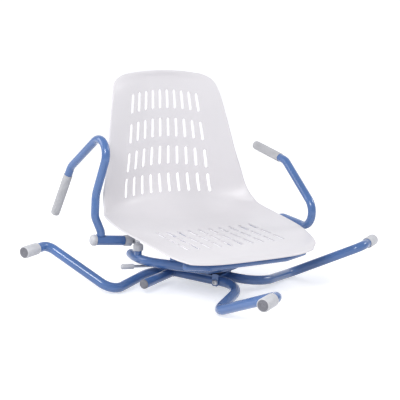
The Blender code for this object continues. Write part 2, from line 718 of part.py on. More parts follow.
def between(values, place_at):
    """A smooth curve through values at whole places."""
    count = len(values)
    index = min(int(place_at), count - 2)
    t = place_at - index
    p1 = values[index]
    p2 = values[index + 1]
    p0 = values[index - 1] if index > 0 else 2.0 * p1 - p2
    p3 = values[index + 2] if index + 2 < count else 2.0 * p2 - p1
    m1 = (p2 - p0) / 2.0
    m2 = (p3 - p1) / 2.0
    return ((2 * t ** 3 - 3 * t ** 2 + 1) * p1 + (t ** 3 - 2 * t ** 2 + t) * m1
            + (-2 * t ** 3 + 3 * t ** 2) * p2 + (t ** 3 - t ** 2) * m2)


def shell_point(stations, along, across):
    """Top surface of the shell: along is 0 at the lip and 1 at the top edge, across is -1 to 1."""
    place_at = along * (len(stations) - 1)
    cy, cz, ex, ey, ez = (between([station[i] for station in stations], place_at) for i in range(5))
    upright = min(1.0, max(0.0, (place_at - UPRIGHT_START) / UPRIGHT_RUN))
    lift = abs(across) ** (PAN_CURVE + (BACK_CURVE - PAN_CURVE) * upright)
    return Vector((ex * across, cy + (ey - cy) * lift, cz + (ez - cz) * lift))


def back_height_place(stations, height):
    """How far along the shell its centre line reaches a height on the back."""
    low = BACK_START
    high = 1.0
    for _ in range(HALVINGS):
        middle = (low + high) / 2.0
        if shell_point(stations, middle, 0.0).z < height:
            low = middle
        else:
            high = middle
    return (low + high) / 2.0


def shell_grid(bm, stations):
    """The shell's top surface as rows of points joined by faces."""
    grid = []
    for row in range(SHELL_ROWS + 1):
        line = []
        for column in range(SHELL_COLUMNS + 1):
            share = column / SHELL_COLUMNS * 2.0 - 1.0
            across = math.copysign(abs(share) ** COLUMN_CROWDING, share)
            line.append(bm.verts.new(mm(shell_point(stations, row / SHELL_ROWS, across))))
        grid.append(line)
    for row in range(SHELL_ROWS):
        for column in range(SHELL_COLUMNS):
            bm.faces.new((grid[row][column], grid[row][column + 1],
                          grid[row + 1][column + 1], grid[row + 1][column]))
    bm.normal_update()
    return grid


def turn_edge_down(bm, border):
    """Adds a rounded edge along a closed border, curling away from the top surface."""
    count = len(border)
    directions = []
    for index, vert in enumerate(border):
        run = border[(index + 1) % count].co - border[index - 1].co
        directions.append((vert.co.copy(), run.cross(vert.normal).normalized(), vert.normal.copy()))
    ring_before = border
    for angle in RIM_ROLL_ANGLES:
        ring = []
        for base, out, normal in directions:
            reach = out * math.sin(angle) - normal * (1.0 - math.cos(angle))
            ring.append(bm.verts.new(base + reach * mm(RIM_ROLL)))
        for index in range(count):
            after = (index + 1) % count
            bm.faces.new((ring_before[after], ring_before[index], ring[index], ring[after]))
        ring_before = ring


def shell_mesh(stations):
    """Open sheet of the shell with its edge turned down, thickened by Solidify."""
    bm = bmesh.new()
    grid = shell_grid(bm, stations)
    rows = SHELL_ROWS
    columns = SHELL_COLUMNS
    border = [grid[0][c] for c in range(columns)] + [grid[r][columns] for r in range(rows)]
    border += [grid[rows][c] for c in range(columns, 0, -1)] + [grid[r][0] for r in range(rows, 0, -1)]
    turn_edge_down(bm, border)
    bmesh.ops.recalc_face_normals(bm, faces=bm.faces)
    bm.normal_update()
    if grid[0][columns // 2].normal.z < 0.0:
        bmesh.ops.reverse_faces(bm, faces=bm.faces)
    mesh = bpy.data.meshes.new("shell_sheet")
    bm.to_mesh(mesh)
    bm.free()
    guide = bpy.data.objects.new("shell_guide", mesh)
    bpy.context.scene.collection.objects.link(guide)
    solid = guide.modifiers.new("wall", "SOLIDIFY")
    solid.thickness = mm(WALL)
    solid.offset = -1.0
    made = evaluated_mesh(guide)
    bpy.data.objects.remove(guide, do_unlink=True)
    return made


def join_meshes(pieces, name):
    """One mesh from several (mesh, matrix) pairs that stay apart."""
    bm = bmesh.new()
    for mesh, matrix in pieces:
        copy = mesh.copy()
        copy.transform(matrix)
        bm.from_mesh(copy)
        bpy.data.meshes.remove(copy)
    made = bpy.data.meshes.new(name)
    bm.to_mesh(made)
    bm.free()
    return made


def back_slot_cuts(stations):
    """Slots in four rows on the back, closing up towards the top, cut straight through along Y."""
    cuts = []
    for row in range(BACK_SLOT_ROWS):
        share = row / (BACK_SLOT_ROWS - 1)
        pitch = BACK_SLOT_PITCH_LOW + (BACK_SLOT_PITCH_HIGH - BACK_SLOT_PITCH_LOW) * share
        middle = BACK_SLOT_FIRST + BACK_SLOT_ROW_PITCH * row
        along = back_height_place(stations, middle)
        slot = flat_mesh(slot_outline(SLOT_WIDTH, BACK_SLOT_LENGTH), SLOT_CUT_DEPTH)
        for index in range(BACK_SLOTS):
            k = index - (BACK_SLOTS - 1) / 2.0
            x = k * pitch
            point = shell_point(stations, along, x / shell_point(stations, along, 1.0).x)
            start = Matrix.Translation(mm_vector(x, point.y + SLOT_CUT_DEPTH / 2.0, point.z))
            through = Matrix.Rotation(math.radians(90.0), 4, "X")
            cuts.append((slot, start @ through @ Matrix.Rotation(k * BACK_SLOT_FAN, 4, "Z")))
    return cuts


def pan_slot_cuts():
    """Slots in rows on the pan, cut straight down."""
    cuts = []
    slot = flat_mesh(slot_outline(SLOT_WIDTH, PAN_SLOT_LENGTH), SLOT_CUT_DEPTH)
    low = PAN_LEVEL - SLOT_CUT_DEPTH / 2.0
    for row in range(PAN_SLOT_ROWS):
        middle = PAN_SLOT_FIRST - PAN_SLOT_ROW_PITCH * row
        for index in range(PAN_SLOTS):
            x = (index - (PAN_SLOTS - 1) / 2.0) * PAN_SLOT_PITCH
            cuts.append((slot, Matrix.Translation(mm_vector(x, middle, low))))
    return cuts


def add_shell(seat):
    stations = shell_stations()
    shell = add_mesh("seat_shell", shell_mesh(stations), "white_shell", seat)
    cuts = join_meshes(back_slot_cuts(stations) + pan_slot_cuts(), "slot_cuts")
    cutter = add_cutter("slot_cutter", cuts, seat)
    boolean(shell, cutter)
    smooth(shell.data, 40.0)
    return stations


def pan_place(stations, y):
    """How far along the shell its centre line reaches a place on the pan."""
    low = 0.0
    high = BACK_START
    for _ in range(HALVINGS):
        middle = (low + high) / 2.0
        if shell_point(stations, middle, 0.0).y < y:
            low = middle
        else:
            high = middle
    return (low + high) / 2.0


def pan_underside(stations, x, y, radius):
    """Lowest height of the pan's lower face over a round seat about a point."""
    step = 0.01
    heights = []
    for spot_x, spot_y in [(x, y)] + circle(radius, (x, y)):
        along = pan_place(stations, spot_y)
        across = spot_x / shell_point(stations, along, 1.0).x
        here = shell_point(stations, along, across)
        ahead = shell_point(stations, along + step, across) - here
        aside = shell_point(stations, along, across + step) - here
        upright = abs(ahead.cross(aside).normalized().z)
        heights.append(here.z - WALL / upright)
    return min(heights)


def add_spacer(seat, stations, name, x, y, bottom):
    """Round spacer from a tube's top up to the underside of the pan."""
    top = pan_underside(stations, x, y, SPACER_R) - PAD_GAP
    profile = [(0.0, top), (SPACER_R, top), (SPACER_R, bottom), (0.0, bottom)]
    add_turned(name, profile, "blue_paint", seat, Matrix.Translation(mm_vector(x, y, 0.0)), SMALL_ROUND)


def add_front_strut(seat, side, name):
    """Thin bar standing on the front of the horseshoe tube and bent forward to the front bar."""
    x = side * STRUT_X
    end_y = FRONT_BAR_Y + FRONT_BAR_R + GAP
    corners = [(x, -FRAME_FRONT, FRAME_LEVEL + TUBE_R + GAP), (x, -FRAME_FRONT, FRONT_BAR_Z, STRUT_BEND_R),
               (x, end_y, FRONT_BAR_Z)]
    add_tube("front_strut_" + name, filleted_path(corners), STRUT_R, "blue_paint", seat, THIN_SIDES)


def add_front_bar(seat):
    end = (FRONT_BAR_HALF, FRONT_BAR_Y + FRONT_BAR_SWEEP, FRONT_BAR_Z + FRONT_BAR_LIFT)
    bend = (FRONT_BAR_HALF * FRONT_BAR_STRAIGHT, FRONT_BAR_Y, FRONT_BAR_Z, FRONT_BAR_BEND_R)
    left_half = [end, bend]
    right_half = [(-corner[0], *corner[1:]) for corner in reversed(left_half)]
    add_tube("front_bar", filleted_path(left_half + right_half), FRONT_BAR_R, "blue_paint", seat)


def add_supports(seat, stations):
    """Spacers, struts and front bar between the turning frame and the pan."""
    frame_top = FRAME_LEVEL + TUBE_R + GAP
    bar_top = FRONT_BAR_Z + FRONT_BAR_R + GAP
    for side, name in ((-1, "right"), (1, "left")):
        add_spacer(seat, stations, "rear_spacer_" + name, side * frame_half_at(SPACER_Y), SPACER_Y, frame_top)
        add_spacer(seat, stations, "front_spacer_" + name, side * FRONT_SPACER_X, FRONT_BAR_Y, bar_top)
        add_front_strut(seat, side, name)
    add_front_bar(seat)


def pivot_matrix(side, raised=0.0):
    """Axes of an arm pivot: X along the pivot, -Y forward. Side is 1 for the sitter's left."""
    place_at = Matrix.Translation(mm_vector(side * PIVOT_HALF, PIVOT_Y, PIVOT_Z))
    tilt = Matrix.Rotation(-side * PIVOT_TILT, 4, "Y")
    return place_at @ tilt @ Matrix.Rotation(-raised, 4, "X")


def pivot_point(side, outward):
    """A point on an arm's pivot axis, in millimetres in the seat's axes."""
    return pivot_matrix(side) @ mm_vector(side * outward, 0.0, 0.0) * 1000.0


def arm_corners(side):
    """Centre line of an arm's tube, pivot to grip, in the pivot's axes."""
    turn_x = ARM_REACH - ARM_TURN_R
    turn_z = ARM_LOW + ARM_TURN_R
    dx = ARM_TOP_FORWARD - turn_x
    dz = ARM_TOP - turn_z
    reach = math.hypot(dx, dz)
    tangent_angle = math.atan2(dz, dx) - math.acos(ARM_TURN_R / reach)
    run = Vector((-math.sin(tangent_angle), math.cos(tangent_angle)))
    touch_x = turn_x + ARM_TURN_R * math.cos(tangent_angle)
    touch_z = turn_z + ARM_TURN_R * math.sin(tangent_angle)
    meet = touch_x - run.x * (touch_z - ARM_LOW) / run.y
    return [
        (0.0, 0.0, 0.0),
        (0.0, -ARM_STEP_FORWARD * ARM_START, ARM_LOW * ARM_START, ARM_START_R),
        (side * ARM_OUT_STEP, -ARM_STEP_FORWARD * ARM_MIDDLE, ARM_LOW * ARM_MIDDLE, ARM_MIDDLE_R),
        (side * (ARM_OUT_STEP + ARM_LOW_FLARE), -ARM_STEP_FORWARD, ARM_LOW, ARM_LOW_R),
        (side * (ARM_OUT_STEP + ARM_FRONT_FLARE), -meet, ARM_LOW, ARM_TURN_R),
        (side * (ARM_OUT_STEP + ARM_TOP_FLARE), -ARM_TOP_FORWARD, ARM_TOP, ARM_TOP_R),
        (side * (ARM_OUT_STEP + ARM_END_FLARE), GRIP_END_BACK, GRIP_END_UP),
    ]


def fluted_grip_mesh():
    """Grip about Z: closed rounded end at Z = 0, open end at its length."""
    bore = ARM_TUBE_R + GAP
    profile = [(GRIP_R, GRIP_LENGTH), (GRIP_R, GRIP_ROUNDING)]
    profile += [(GRIP_R * across, GRIP_ROUNDING * (1.0 - up)) for across, up in reversed(DOME_SHAPE[:2])]
    profile += [(0.0, 0.0), (0.0, GRIP_END_WALL), (bore, GRIP_END_WALL), (bore, GRIP_LENGTH)]
    made = turned_mesh(profile, GRIP_FLUTES * 2)
    for vert in made.vertices:
        radius = math.hypot(vert.co.x, vert.co.y)
        outside = radius > mm((bore + GRIP_R) / 2.0)
        if outside and vert.co.z > mm(GRIP_ROUNDING / 2.0):
            angle = math.atan2(vert.co.y, vert.co.x)
            grown = radius + mm(GRIP_FLUTE_DEPTH / 2.0) * math.cos(GRIP_FLUTES * angle)
            vert.co.x *= grown / radius
            vert.co.y *= grown / radius
    smooth(made, 50.0)
    return made


def add_arm(seat, side, name, raised):
    """One arm: bent tube welded to its sleeve, grip and cap, on its own pivot."""
    pivot = add_empty("arm_axis_" + name, seat, pivot_matrix(side, raised))
    corners = arm_corners(side)
    end = Vector(corners[-1])
    ahead = (end - Vector(corners[-2][:3])).normalized()
    tube_end = end - ahead * (GRIP_END_WALL + GAP)
    points = filleted_path(corners[:-1] + [tuple(tube_end)])
    arm = add_tube("arm_tube_" + name, points, ARM_TUBE_R, "blue_paint", pivot)
    across = Matrix.Rotation(math.radians(90.0) * side, 4, "Y")
    inner_end = Matrix.Translation(mm_vector(side * -SLEEVE_IN, 0.0, 0.0)) @ across
    sleeve = turned_mesh(rod_profile(SLEEVE_R, 0.0, SLEEVE_IN + SLEEVE_END))
    boolean(arm, add_cutter("sleeve_" + name, sleeve, pivot, inner_end), "UNION")
    bore_r = SLEEVE_R - SLEEVE_WALL
    bore = turned_mesh(rod_profile(bore_r, -SLEEVE_END, SLEEVE_IN + SLEEVE_END * 2.0))
    boolean(arm, add_cutter("sleeve_bore_" + name, bore, pivot, inner_end))
    smooth(arm.data)
    grip_axis = axis_matrix(end, end - ahead)
    add_mesh("arm_grip_" + name, fluted_grip_mesh(), "grip_plastic", pivot, grip_axis)
    stem_r = bore_r - GAP
    cap = dome_profile(CAP_R, CAP_LENGTH, CAP_FLANK) + [(stem_r, 0.0), (stem_r, -CAP_STEM), (0.0, -CAP_STEM)]
    outer_end = Matrix.Translation(mm_vector(side * (SLEEVE_END + GAP), 0.0, 0.0)) @ across
    add_turned("arm_cap_" + name, cap, "white_plastic", pivot, outer_end)


def add_arm_axle(seat, side, name, corner, post):
    """Bent axle an arm turns on, and the collar beside its sleeve."""
    sleeve_end = -SLEEVE_IN - RUN_GAP
    bore = AXLE_R + GAP
    edge = COLLAR_R - COLLAR_CHAMFER
    collar = [(edge, COLLAR_LENGTH), (COLLAR_R, COLLAR_LENGTH - COLLAR_CHAMFER), (COLLAR_R, COLLAR_CHAMFER),
              (edge, 0.0), (bore, 0.0), (bore, COLLAR_LENGTH)]
    across = Matrix.Rotation(math.radians(90.0) * side, 4, "Y")
    at_collar = Matrix.Translation(mm_vector(side * (sleeve_end - COLLAR_LENGTH), 0.0, 0.0))
    add_turned("arm_collar_" + name, collar, "white_plastic", seat, pivot_matrix(side) @ at_collar @ across)
    outer = pivot_point(side, SLEEVE_END - CAP_STEM - RUN_GAP)
    end = post + (corner - post).normalized() * (POST_CAP_R + GAP)
    points = filleted_path([tuple(outer), (*corner, AXLE_BEND_R), tuple(end)])
    add_tube("arm_axle_" + name, points, AXLE_R, "zinc_steel", seat, THIN_SIDES)


def add_pivot_mount(seat, side, name):
    """What an arm turns on: a bent axle with its collar, held by a capped post on the horseshoe tube."""
    corner = pivot_point(side, -SLEEVE_IN - RUN_GAP - COLLAR_LENGTH - AXLE_BEND_RUN)
    post = Vector((side * frame_half_at(POST_Y), POST_Y, corner.z))
    add_arm_axle(seat, side, name, corner, post)
    cap_low = post.z - POST_CAP_LENGTH / 2.0
    stub = add_tube("arm_post_" + name, [(post.x, post.y, FRAME_LEVEL), (post.x, post.y, cap_low - GAP)],
                    POST_R, "blue_paint", seat)
    boolean(stub, add_cutter("post_cope_" + name, frame_cope(), seat))
    smooth(stub.data)
    cap = dome_profile(POST_CAP_R, POST_CAP_LENGTH, POST_CAP_FLANK) + [(0.0, 0.0)]
    add_turned("arm_post_cap_" + name, cap, "white_plastic", seat,
               Matrix.Translation(mm_vector(post.x, post.y, cap_low)))


def add_lock_lever(seat):
    """Hand lever of the swivel lock, on the sitter's right, turning on a pin under the swivel plate."""
    level = SWIVEL_PLATE_Z - RUN_GAP - LEVER_R
    at_pivot = Matrix.Translation(mm_vector(LEVER_PIVOT_X, LEVER_PIVOT_Y, level))
    pivot = add_empty("lock_lever_axis", seat, at_pivot @ Matrix.Rotation(LEVER_ANGLE, 4, "Z"))
    rod_start = (LEVER_PIN_R + LEVER_EYE_R) / 2.0
    rod = add_tube("lock_lever_rod", [(rod_start, 0.0, 0.0), (LEVER_LENGTH, 0.0, 0.0)], LEVER_R,
                   "zinc_steel", pivot, THIN_SIDES)
    hole = circle(LEVER_PIN_R + GAP, count=SMALL_ROUND)
    eye = flat_mesh(circle(LEVER_EYE_R, count=SMALL_ROUND), LEVER_EYE_T, [hole])
    low = Matrix.Translation(mm_vector(0.0, 0.0, -LEVER_EYE_T / 2.0))
    boolean(rod, add_cutter("lever_eye", eye, pivot, low), "UNION")
    smooth(rod.data)
    tip = dome_profile(LEVER_TIP_R, LEVER_TIP_LENGTH, LEVER_TIP_LENGTH - LEVER_TIP_DOME) + [(0.0, 0.0)]
    rod_end = Matrix.Translation(mm_vector(LEVER_LENGTH + GAP, 0.0, 0.0))
    along = Matrix.Rotation(math.radians(90.0), 4, "Y")
    add_turned("lock_lever_tip", tip, "white_plastic", pivot, rod_end @ along, SMALL_ROUND)
    head_top = -LEVER_R - GAP
    pin = [(0.0, SWIVEL_PLATE_TOP - level), (LEVER_PIN_R, SWIVEL_PLATE_TOP - level), (LEVER_PIN_R, head_top),
           (LEVER_HEAD_R, head_top), (LEVER_HEAD_R, head_top - LEVER_HEAD_T), (0.0, head_top - LEVER_HEAD_T)]
    add_turned("lever_pin", pin, "zinc_steel", seat, at_pivot, SMALL_ROUND)


def build():
    add_base_tubes()
    add_feet()
    add_side_stop()
    add_hub_base()
    add_index_bracket()
    seat = add_empty("swivel_axis", None, Matrix.Rotation(SEAT_TURN, 4, "Z"))
    add_seat_frame(seat)
    stations = add_shell(seat)
    add_supports(seat, stations)
    for side, name, raised in ((1, "left", 0.0), (-1, "right", RIGHT_ARM_RAISED)):
        add_arm(seat, side, name, raised)
        add_pivot_mount(seat, side, name)
    add_lock_lever(seat)


clear_scene()
PARTS = new_collection("swivel_bath_seat")
CUTTERS = new_collection("cutters")
build()
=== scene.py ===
"""Dressed model of the swivel bath seat: smooth pieces over the CAD frame, with materials,
floor, light and camera.

Lengths are in millimetres and become metres in mm(). The frame is the CAD's: Z = 0 at the bath
rim, X = Y = 0 on the swivel axis, and the seat turned by SEAT_TURN. The named sizes down to the
lock lever's are the ones that the solids have. The grips' flutes are finer than the solids'.
"""
import math

import bmesh
import bpy
from mathutils import Matrix, Vector, noise


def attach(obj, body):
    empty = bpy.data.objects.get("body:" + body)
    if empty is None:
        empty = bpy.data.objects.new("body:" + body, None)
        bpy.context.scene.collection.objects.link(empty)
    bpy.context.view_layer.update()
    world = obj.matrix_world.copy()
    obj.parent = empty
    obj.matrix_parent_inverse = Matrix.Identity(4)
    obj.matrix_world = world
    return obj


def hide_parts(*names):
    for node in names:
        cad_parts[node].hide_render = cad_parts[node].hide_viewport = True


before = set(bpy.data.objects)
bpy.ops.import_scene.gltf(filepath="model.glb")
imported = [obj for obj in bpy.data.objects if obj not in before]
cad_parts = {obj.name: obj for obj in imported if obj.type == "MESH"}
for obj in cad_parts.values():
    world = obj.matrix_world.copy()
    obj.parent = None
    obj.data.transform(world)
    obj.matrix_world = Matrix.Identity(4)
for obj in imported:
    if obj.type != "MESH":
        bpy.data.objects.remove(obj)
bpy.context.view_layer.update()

GAP = 0.3  # between pieces that touch
RUN_GAP = 1.0  # between pieces that turn past each other
TUBE_R = 12.5  # base and horseshoe tubes
ARM_TUBE_R = 11.0
BEND_R = 45.0
QUARTER = math.radians(90.0)

# Base
RIM_HALF = 349.0
FOOT_SPREAD = 331.0
FOOT_R = 15.5
FOOT_LENGTH = 49.0
FOOT_PLUG_R = 12.8
FOOT_PLUG_DEPTH = 4.0
FOOT_LEVEL = FOOT_R
DROP = 81.0  # foot centre line down to the tubes' middle
LEG_SINK = 16.5  # middle down to where the legs turn up
TUBE_LEVEL = FOOT_LEVEL - DROP
LEG_LEVEL = TUBE_LEVEL - LEG_SINK
CROSS_HALF_GAP = 27.0  # swivel axis to the middle straight of a base tube
CROSS_BEND_R = 70.0
BASE_FACE_Y = -CROSS_HALF_GAP - TUBE_R
MIDDLE_LEFT = -142.0
MIDDLE_RIGHT = 120.0
LEFT_LEG_REACH = 221.0  # swivel axis to where a leg turns up
RIGHT_LEG_REACH = 195.0
LEFT_LEG_TOE = -7.0
RIGHT_LEG_TOE = 18.0
RISE_BEND_R = 26.0
RISE_LEFT_RUN = 91.0  # outer end of a foot to where the rising tube meets its line
RISE_RIGHT_RUN = 79.0
STOP_TUBE_X = -90.0
STOP_TUBE_LENGTH = 128.0
STOP_PLUG_DEPTH = 6.0

# Hub stack
HUB_PLATE_HALF = 56.0
HUB_PLATE_T = 3.5
PLATE_CORNER = 12.0
RING_R = 48.0
RING_BORE_R = 28.0
RING_T = 3.0
SWIVEL_PLATE_T = 3.0
BASE_PLATE_Z = TUBE_LEVEL + TUBE_R + GAP
LOWER_RING_Z = BASE_PLATE_Z + HUB_PLATE_T + GAP
UPPER_RING_Z = LOWER_RING_Z + RING_T + GAP
SWIVEL_PLATE_Z = UPPER_RING_Z + RING_T + GAP
SWIVEL_PLATE_TOP = SWIVEL_PLATE_Z + SWIVEL_PLATE_T
FRAME_LEVEL = SWIVEL_PLATE_TOP + GAP + TUBE_R
SWIVEL_PLATE_HALF = 98.0
SWIVEL_PLATE_FRONT_HALF = 32.0
SWIVEL_PLATE_FRONT = 58.0
SWIVEL_PLATE_REAR = 82.0
PIVOT_R = 8.0
PIVOT_END = 3.0  # bolt past its nut
PIVOT_HEAD_R = 13.0
PIVOT_HEAD_T = 7.0
PIVOT_WASHER_R = 16.0
PIVOT_WASHER_T = 2.0
PIVOT_NUT_R = 12.5
PIVOT_NUT_T = 9.0

# Index bracket
BRACKET_RING_GAP = 7.5
BRACKET_HALF = 9.0
BRACKET_T = 4.0
BRACKET_CORNER = 5.0
BRACKET_FOOT = 2.0
BRACKET_BOLT_R = 5.0

# Turning frame, in the seat's own axes: X to the sitter's left, -Y forward
FRAME_FRONT = 60.0
FRAME_FRONT_HALF = 50.0
FRAME_FRONT_BEND_R = 60.0
FRAME_SIDE_HALF = 168.0
FRAME_SIDE_Y = 70.0
FRAME_SIDE_BEND_R = 120.0
FRAME_END_HALF = 158.0
FRAME_END_Y = 142.0

# Seat
SEAT_TURN = math.radians(60.0)
SHELL_HALF = 246.0
PAN_REACH = 233.0
BACK_REACH = 289.0
PAN_LEVEL = FRAME_LEVEL + 80.5
BACK_HEIGHT = 398.0
WALL = 4.0
RIM_ROLL = 5.0
UPRIGHT_START = 3.6
UPRIGHT_RUN = 2.6
PAN_CURVE = 4.0  # power of the cross curve: higher is flatter with sharper sides
BACK_CURVE = 2.0
BACK_START = 0.36
COLUMN_CROWDING = 0.85  # below 1, the shell's facets crowd towards its sides
SLOT_WIDTH = 9.0
SLOT_CUT_DEPTH = 120.0
ROW_SLOTS = 10
BACK_SLOT_ROWS = 4
BACK_SLOT_LENGTH = 53.0
BACK_SLOT_FIRST = 136.0  # height of the lowest row's middle
BACK_SLOT_ROW_PITCH = 78.8
BACK_SLOT_PITCH_LOW = 29.4
BACK_SLOT_PITCH_HIGH = 22.8
BACK_SLOT_FAN = math.radians(1.55)
PAN_SLOT_ROWS = 3
PAN_SLOT_LENGTH = 52.0
PAN_SLOT_FIRST = 4.0  # middle of the rear row, behind the swivel axis
PAN_SLOT_ROW_PITCH = 60.0
PAN_SLOT_PITCH = 31.3
SPACER_R = 9.0
FRONT_SPACER_X = 96.0
FRONT_BAR_Y = -196.0
FRONT_BAR_Z = FRAME_LEVEL + 48.5
FRONT_BAR_R = 8.0
FRONT_BAR_HALF = 180.0
FRONT_BAR_STRAIGHT = 0.62
FRONT_BAR_BEND_R = 60.0
FRONT_BAR_SWEEP = 12.0
FRONT_BAR_LIFT = 7.0
STRUT_X = 22.0
STRUT_R = 6.0
STRUT_BEND_R = 25.0

# Arms
PIVOT_HALF = SHELL_HALF - 2.0
PIVOT_Y = 150.0
PIVOT_Z = FRAME_LEVEL + 42.9
PIVOT_TILT = math.radians(6.0)
SLEEVE_R = 13.5
SLEEVE_WALL = 4.0
SLEEVE_IN = 68.0  # length of the sleeve inside the arm's tube
SLEEVE_END = ARM_TUBE_R + 2.5
AXLE_R = 8.5
AXLE_BEND_R = 10.0
AXLE_BEND_RUN = 17.0
COLLAR_LENGTH = 20.0
POST_Y = 94.0
POST_R = 10.0
POST_CAP_R = 13.5
POST_CAP_LENGTH = 20.0
POST_CAP_FLANK = 12.0
CAP_R = 15.0
CAP_LENGTH = 17.0
CAP_FLANK = 8.0
CAP_STEM = 12.0
ARM_OUT = 21.5
ARM_STEP_FORWARD = 111.0
ARM_LOW = 45.0
ARM_REACH = 248.0
ARM_TURN_R = 42.0
ARM_TOP_FORWARD = 113.0
ARM_TOP = 206.0
ARM_START = 0.18
ARM_MIDDLE = 0.52
ARM_START_R = 30.0
ARM_MIDDLE_R = 40.0
ARM_LOW_R = 55.0
ARM_TOP_R = 40.0
ARM_LOW_FLARE = 2.0  # this and the next three: outward of ARM_OUT, corner by corner
ARM_FRONT_FLARE = -3.5
ARM_TOP_FLARE = 14.5
ARM_END_FLARE = 21.5
GRIP_END_BACK = 46.0
GRIP_END_UP = 224.0
GRIP_END_WALL = 5.0
GRIP_LENGTH = 133.0
GRIP_R = 12.2
GRIP_FLUTES = 24
RAISED = math.radians(73.5)

# Lock lever
LEVER_X = -82.0
LEVER_Y = 66.0
LEVER_R = 3.5
LEVER_LENGTH = 94.0
LEVER_ANGLE = math.radians(165.5)
LEVER_EYE_R = 10.0
LEVER_EYE_T = 4.0
LEVER_PIN_R = 4.0
LEVER_HEAD_R = 7.0
LEVER_HEAD_T = 2.0

# Weld beads, which only this model has
WELD_R = 1.5
WELD_INSET = 8.0  # ends of a hub plate's beads inside the plate's ends
WELD_ASIDE = 7.5  # bead beside the line where a tube lies on a plate

# Fineness of the shown pieces
ROUND = 64  # sides of a turned piece
ARC_STEP = 4.0  # degrees of a bend between two rings of its tube
SHELL_ROWS = 104
SHELL_COLUMNS = 72
HALVINGS = 40  # steps of a search by halving

# Camera, solved from the photo
CAMERA_PLACE = (1.108288, -2.012693, 0.64263)
CAMERA_RIGHT = (0.8647292, 0.5004725, 0.0420791)
CAMERA_UP = (-0.1430997, 0.1652053, 0.9758226)
CAMERA_AHEAD = (-0.4814206, 0.8498438, -0.2144752)
CAMERA_LENS = 81.0
CAMERA_SENSOR = 36.0


def mm(value):
    return value * 0.001


def mm_vector(x, y, z):
    return Vector((mm(x), mm(y), mm(z)))


def moved(x, y, z):
    return Matrix.Translation(mm_vector(x, y, z))


def spun(angle, axis):
    return Matrix.Rotation(angle, 4, axis)


def linked(name, data):
    """A new object in the scene."""
    obj = bpy.data.objects.new(name, data)
    bpy.context.scene.collection.objects.link(obj)
    return obj


SEAT = spun(SEAT_TURN, "Z")


# Shapes

def mesh_of(obj):
    """A plain mesh of an object with its modifiers in place; the object goes."""
    bpy.context.view_layer.update()
    graph = bpy.context.evaluated_depsgraph_get()
    mesh = bpy.data.meshes.new_from_object(obj.evaluated_get(graph))
    bpy.data.objects.remove(obj, do_unlink=True)
    return mesh


def filled(mesh, bm):
    """The mesh with what was built in bm, which goes."""
    bm.to_mesh(mesh)
    bm.free()
    return mesh


def weld(mesh):
    bm = bmesh.new()
    bm.from_mesh(mesh)
    bmesh.ops.remove_doubles(bm, verts=bm.verts, dist=mm(0.005))
    bmesh.ops.recalc_face_normals(bm, faces=bm.faces)
    return filled(mesh, bm)


def axis_matrix(start, end):
    direction = Vector(end) - Vector(start)
    turn = direction.to_track_quat("Z", "Y").to_matrix().to_4x4()
    return moved(*start) @ turn


def filleted_path(corners, arc_step=ARC_STEP):
    """Points along straight runs joined by arcs. A corner is (x, y, z) or (x, y, z, bend radius)."""
    points = [Vector(corners[0][:3])]
    for before, corner, after in zip(corners, corners[1:], corners[2:]):
        here = Vector(corner[:3])
        back = (Vector(before[:3]) - here).normalized()
        ahead = (Vector(after[:3]) - here).normalized()
        half = back.angle(ahead) / 2.0
        turn = math.pi - 2.0 * half
        centre = here + (back + ahead).normalized() * (corner[3] / math.sin(half))
        tangent = corner[3] / math.tan(half)
        start = here + back * tangent
        steps = max(2, round(math.degrees(turn) / arc_step))
        normal = (start - centre).cross(here + ahead * tangent - centre).normalized()
        for step in range(steps + 1):
            points.append(centre + Matrix.Rotation(turn * step / steps, 3, normal) @ (start - centre))
    points.append(Vector(corners[-1][:3]))
    return points


def tube_mesh(points, radius, resolution=12):
    """A round bar along points. Radius may be one number or one for each point."""
    curve = bpy.data.curves.new("tube", "CURVE")
    curve.dimensions = "3D"
    curve.bevel_depth = mm(1.0)
    curve.bevel_resolution = resolution
    curve.use_fill_caps = True
    curve.twist_mode = "MINIMUM"
    spline = curve.splines.new("POLY")
    spline.points.add(len(points) - 1)
    for index, (target, point) in enumerate(zip(spline.points, points)):
        target.co = (mm(point[0]), mm(point[1]), mm(point[2]), 1.0)
        target.radius = radius[index] if isinstance(radius, (list, tuple)) else radius
    mesh = mesh_of(linked("guide", curve))
    bpy.data.curves.remove(curve)
    return weld(mesh)


def domed_bar_mesh(points, radius):
    """A round bar along points with its two ends rounded over."""
    angles = [math.radians(15.0 * step) for step in range(7)]
    sizes = [radius * max(0.02, math.sin(angle)) for angle in angles]
    ends = []
    for start, after in ((points[0], points[1]), (points[-1], points[-2])):
        ahead = (after - start).normalized()
        ends.append([start + ahead * radius * (1.0 - math.cos(angle)) for angle in angles])
    path = ends[0] + list(points[1:-1]) + ends[1][::-1]
    return tube_mesh(path, sizes + [radius] * (len(points) - 2) + sizes[::-1])


def turned_mesh(profile, steps=ROUND):
    """A turned piece about Z from a (radius, height) profile, down its outside and up its bore."""
    bm = bmesh.new()
    verts = [bm.verts.new((mm(r), 0.0, mm(z))) for r, z in profile]
    for index, (radius, _) in enumerate(profile):
        after = (index + 1) % len(profile)
        if radius > 0.0 or profile[after][0] > 0.0:
            bm.edges.new((verts[index], verts[after]))
    obj = linked("guide", filled(bpy.data.meshes.new("turned"), bm))
    screw = obj.modifiers.new("turn", "SCREW")
    screw.steps = steps
    screw.render_steps = steps
    screw.use_merge_vertices = True
    screw.merge_threshold = 0.00001
    return weld(mesh_of(obj))


def ring_profile(radius, bore, low, top, edge):
    """A ring whose two outer edges are chamfered."""
    return [(radius - edge, top), (radius, top - edge), (radius, low + edge), (radius - edge, low),
            (bore, low), (bore, top)]


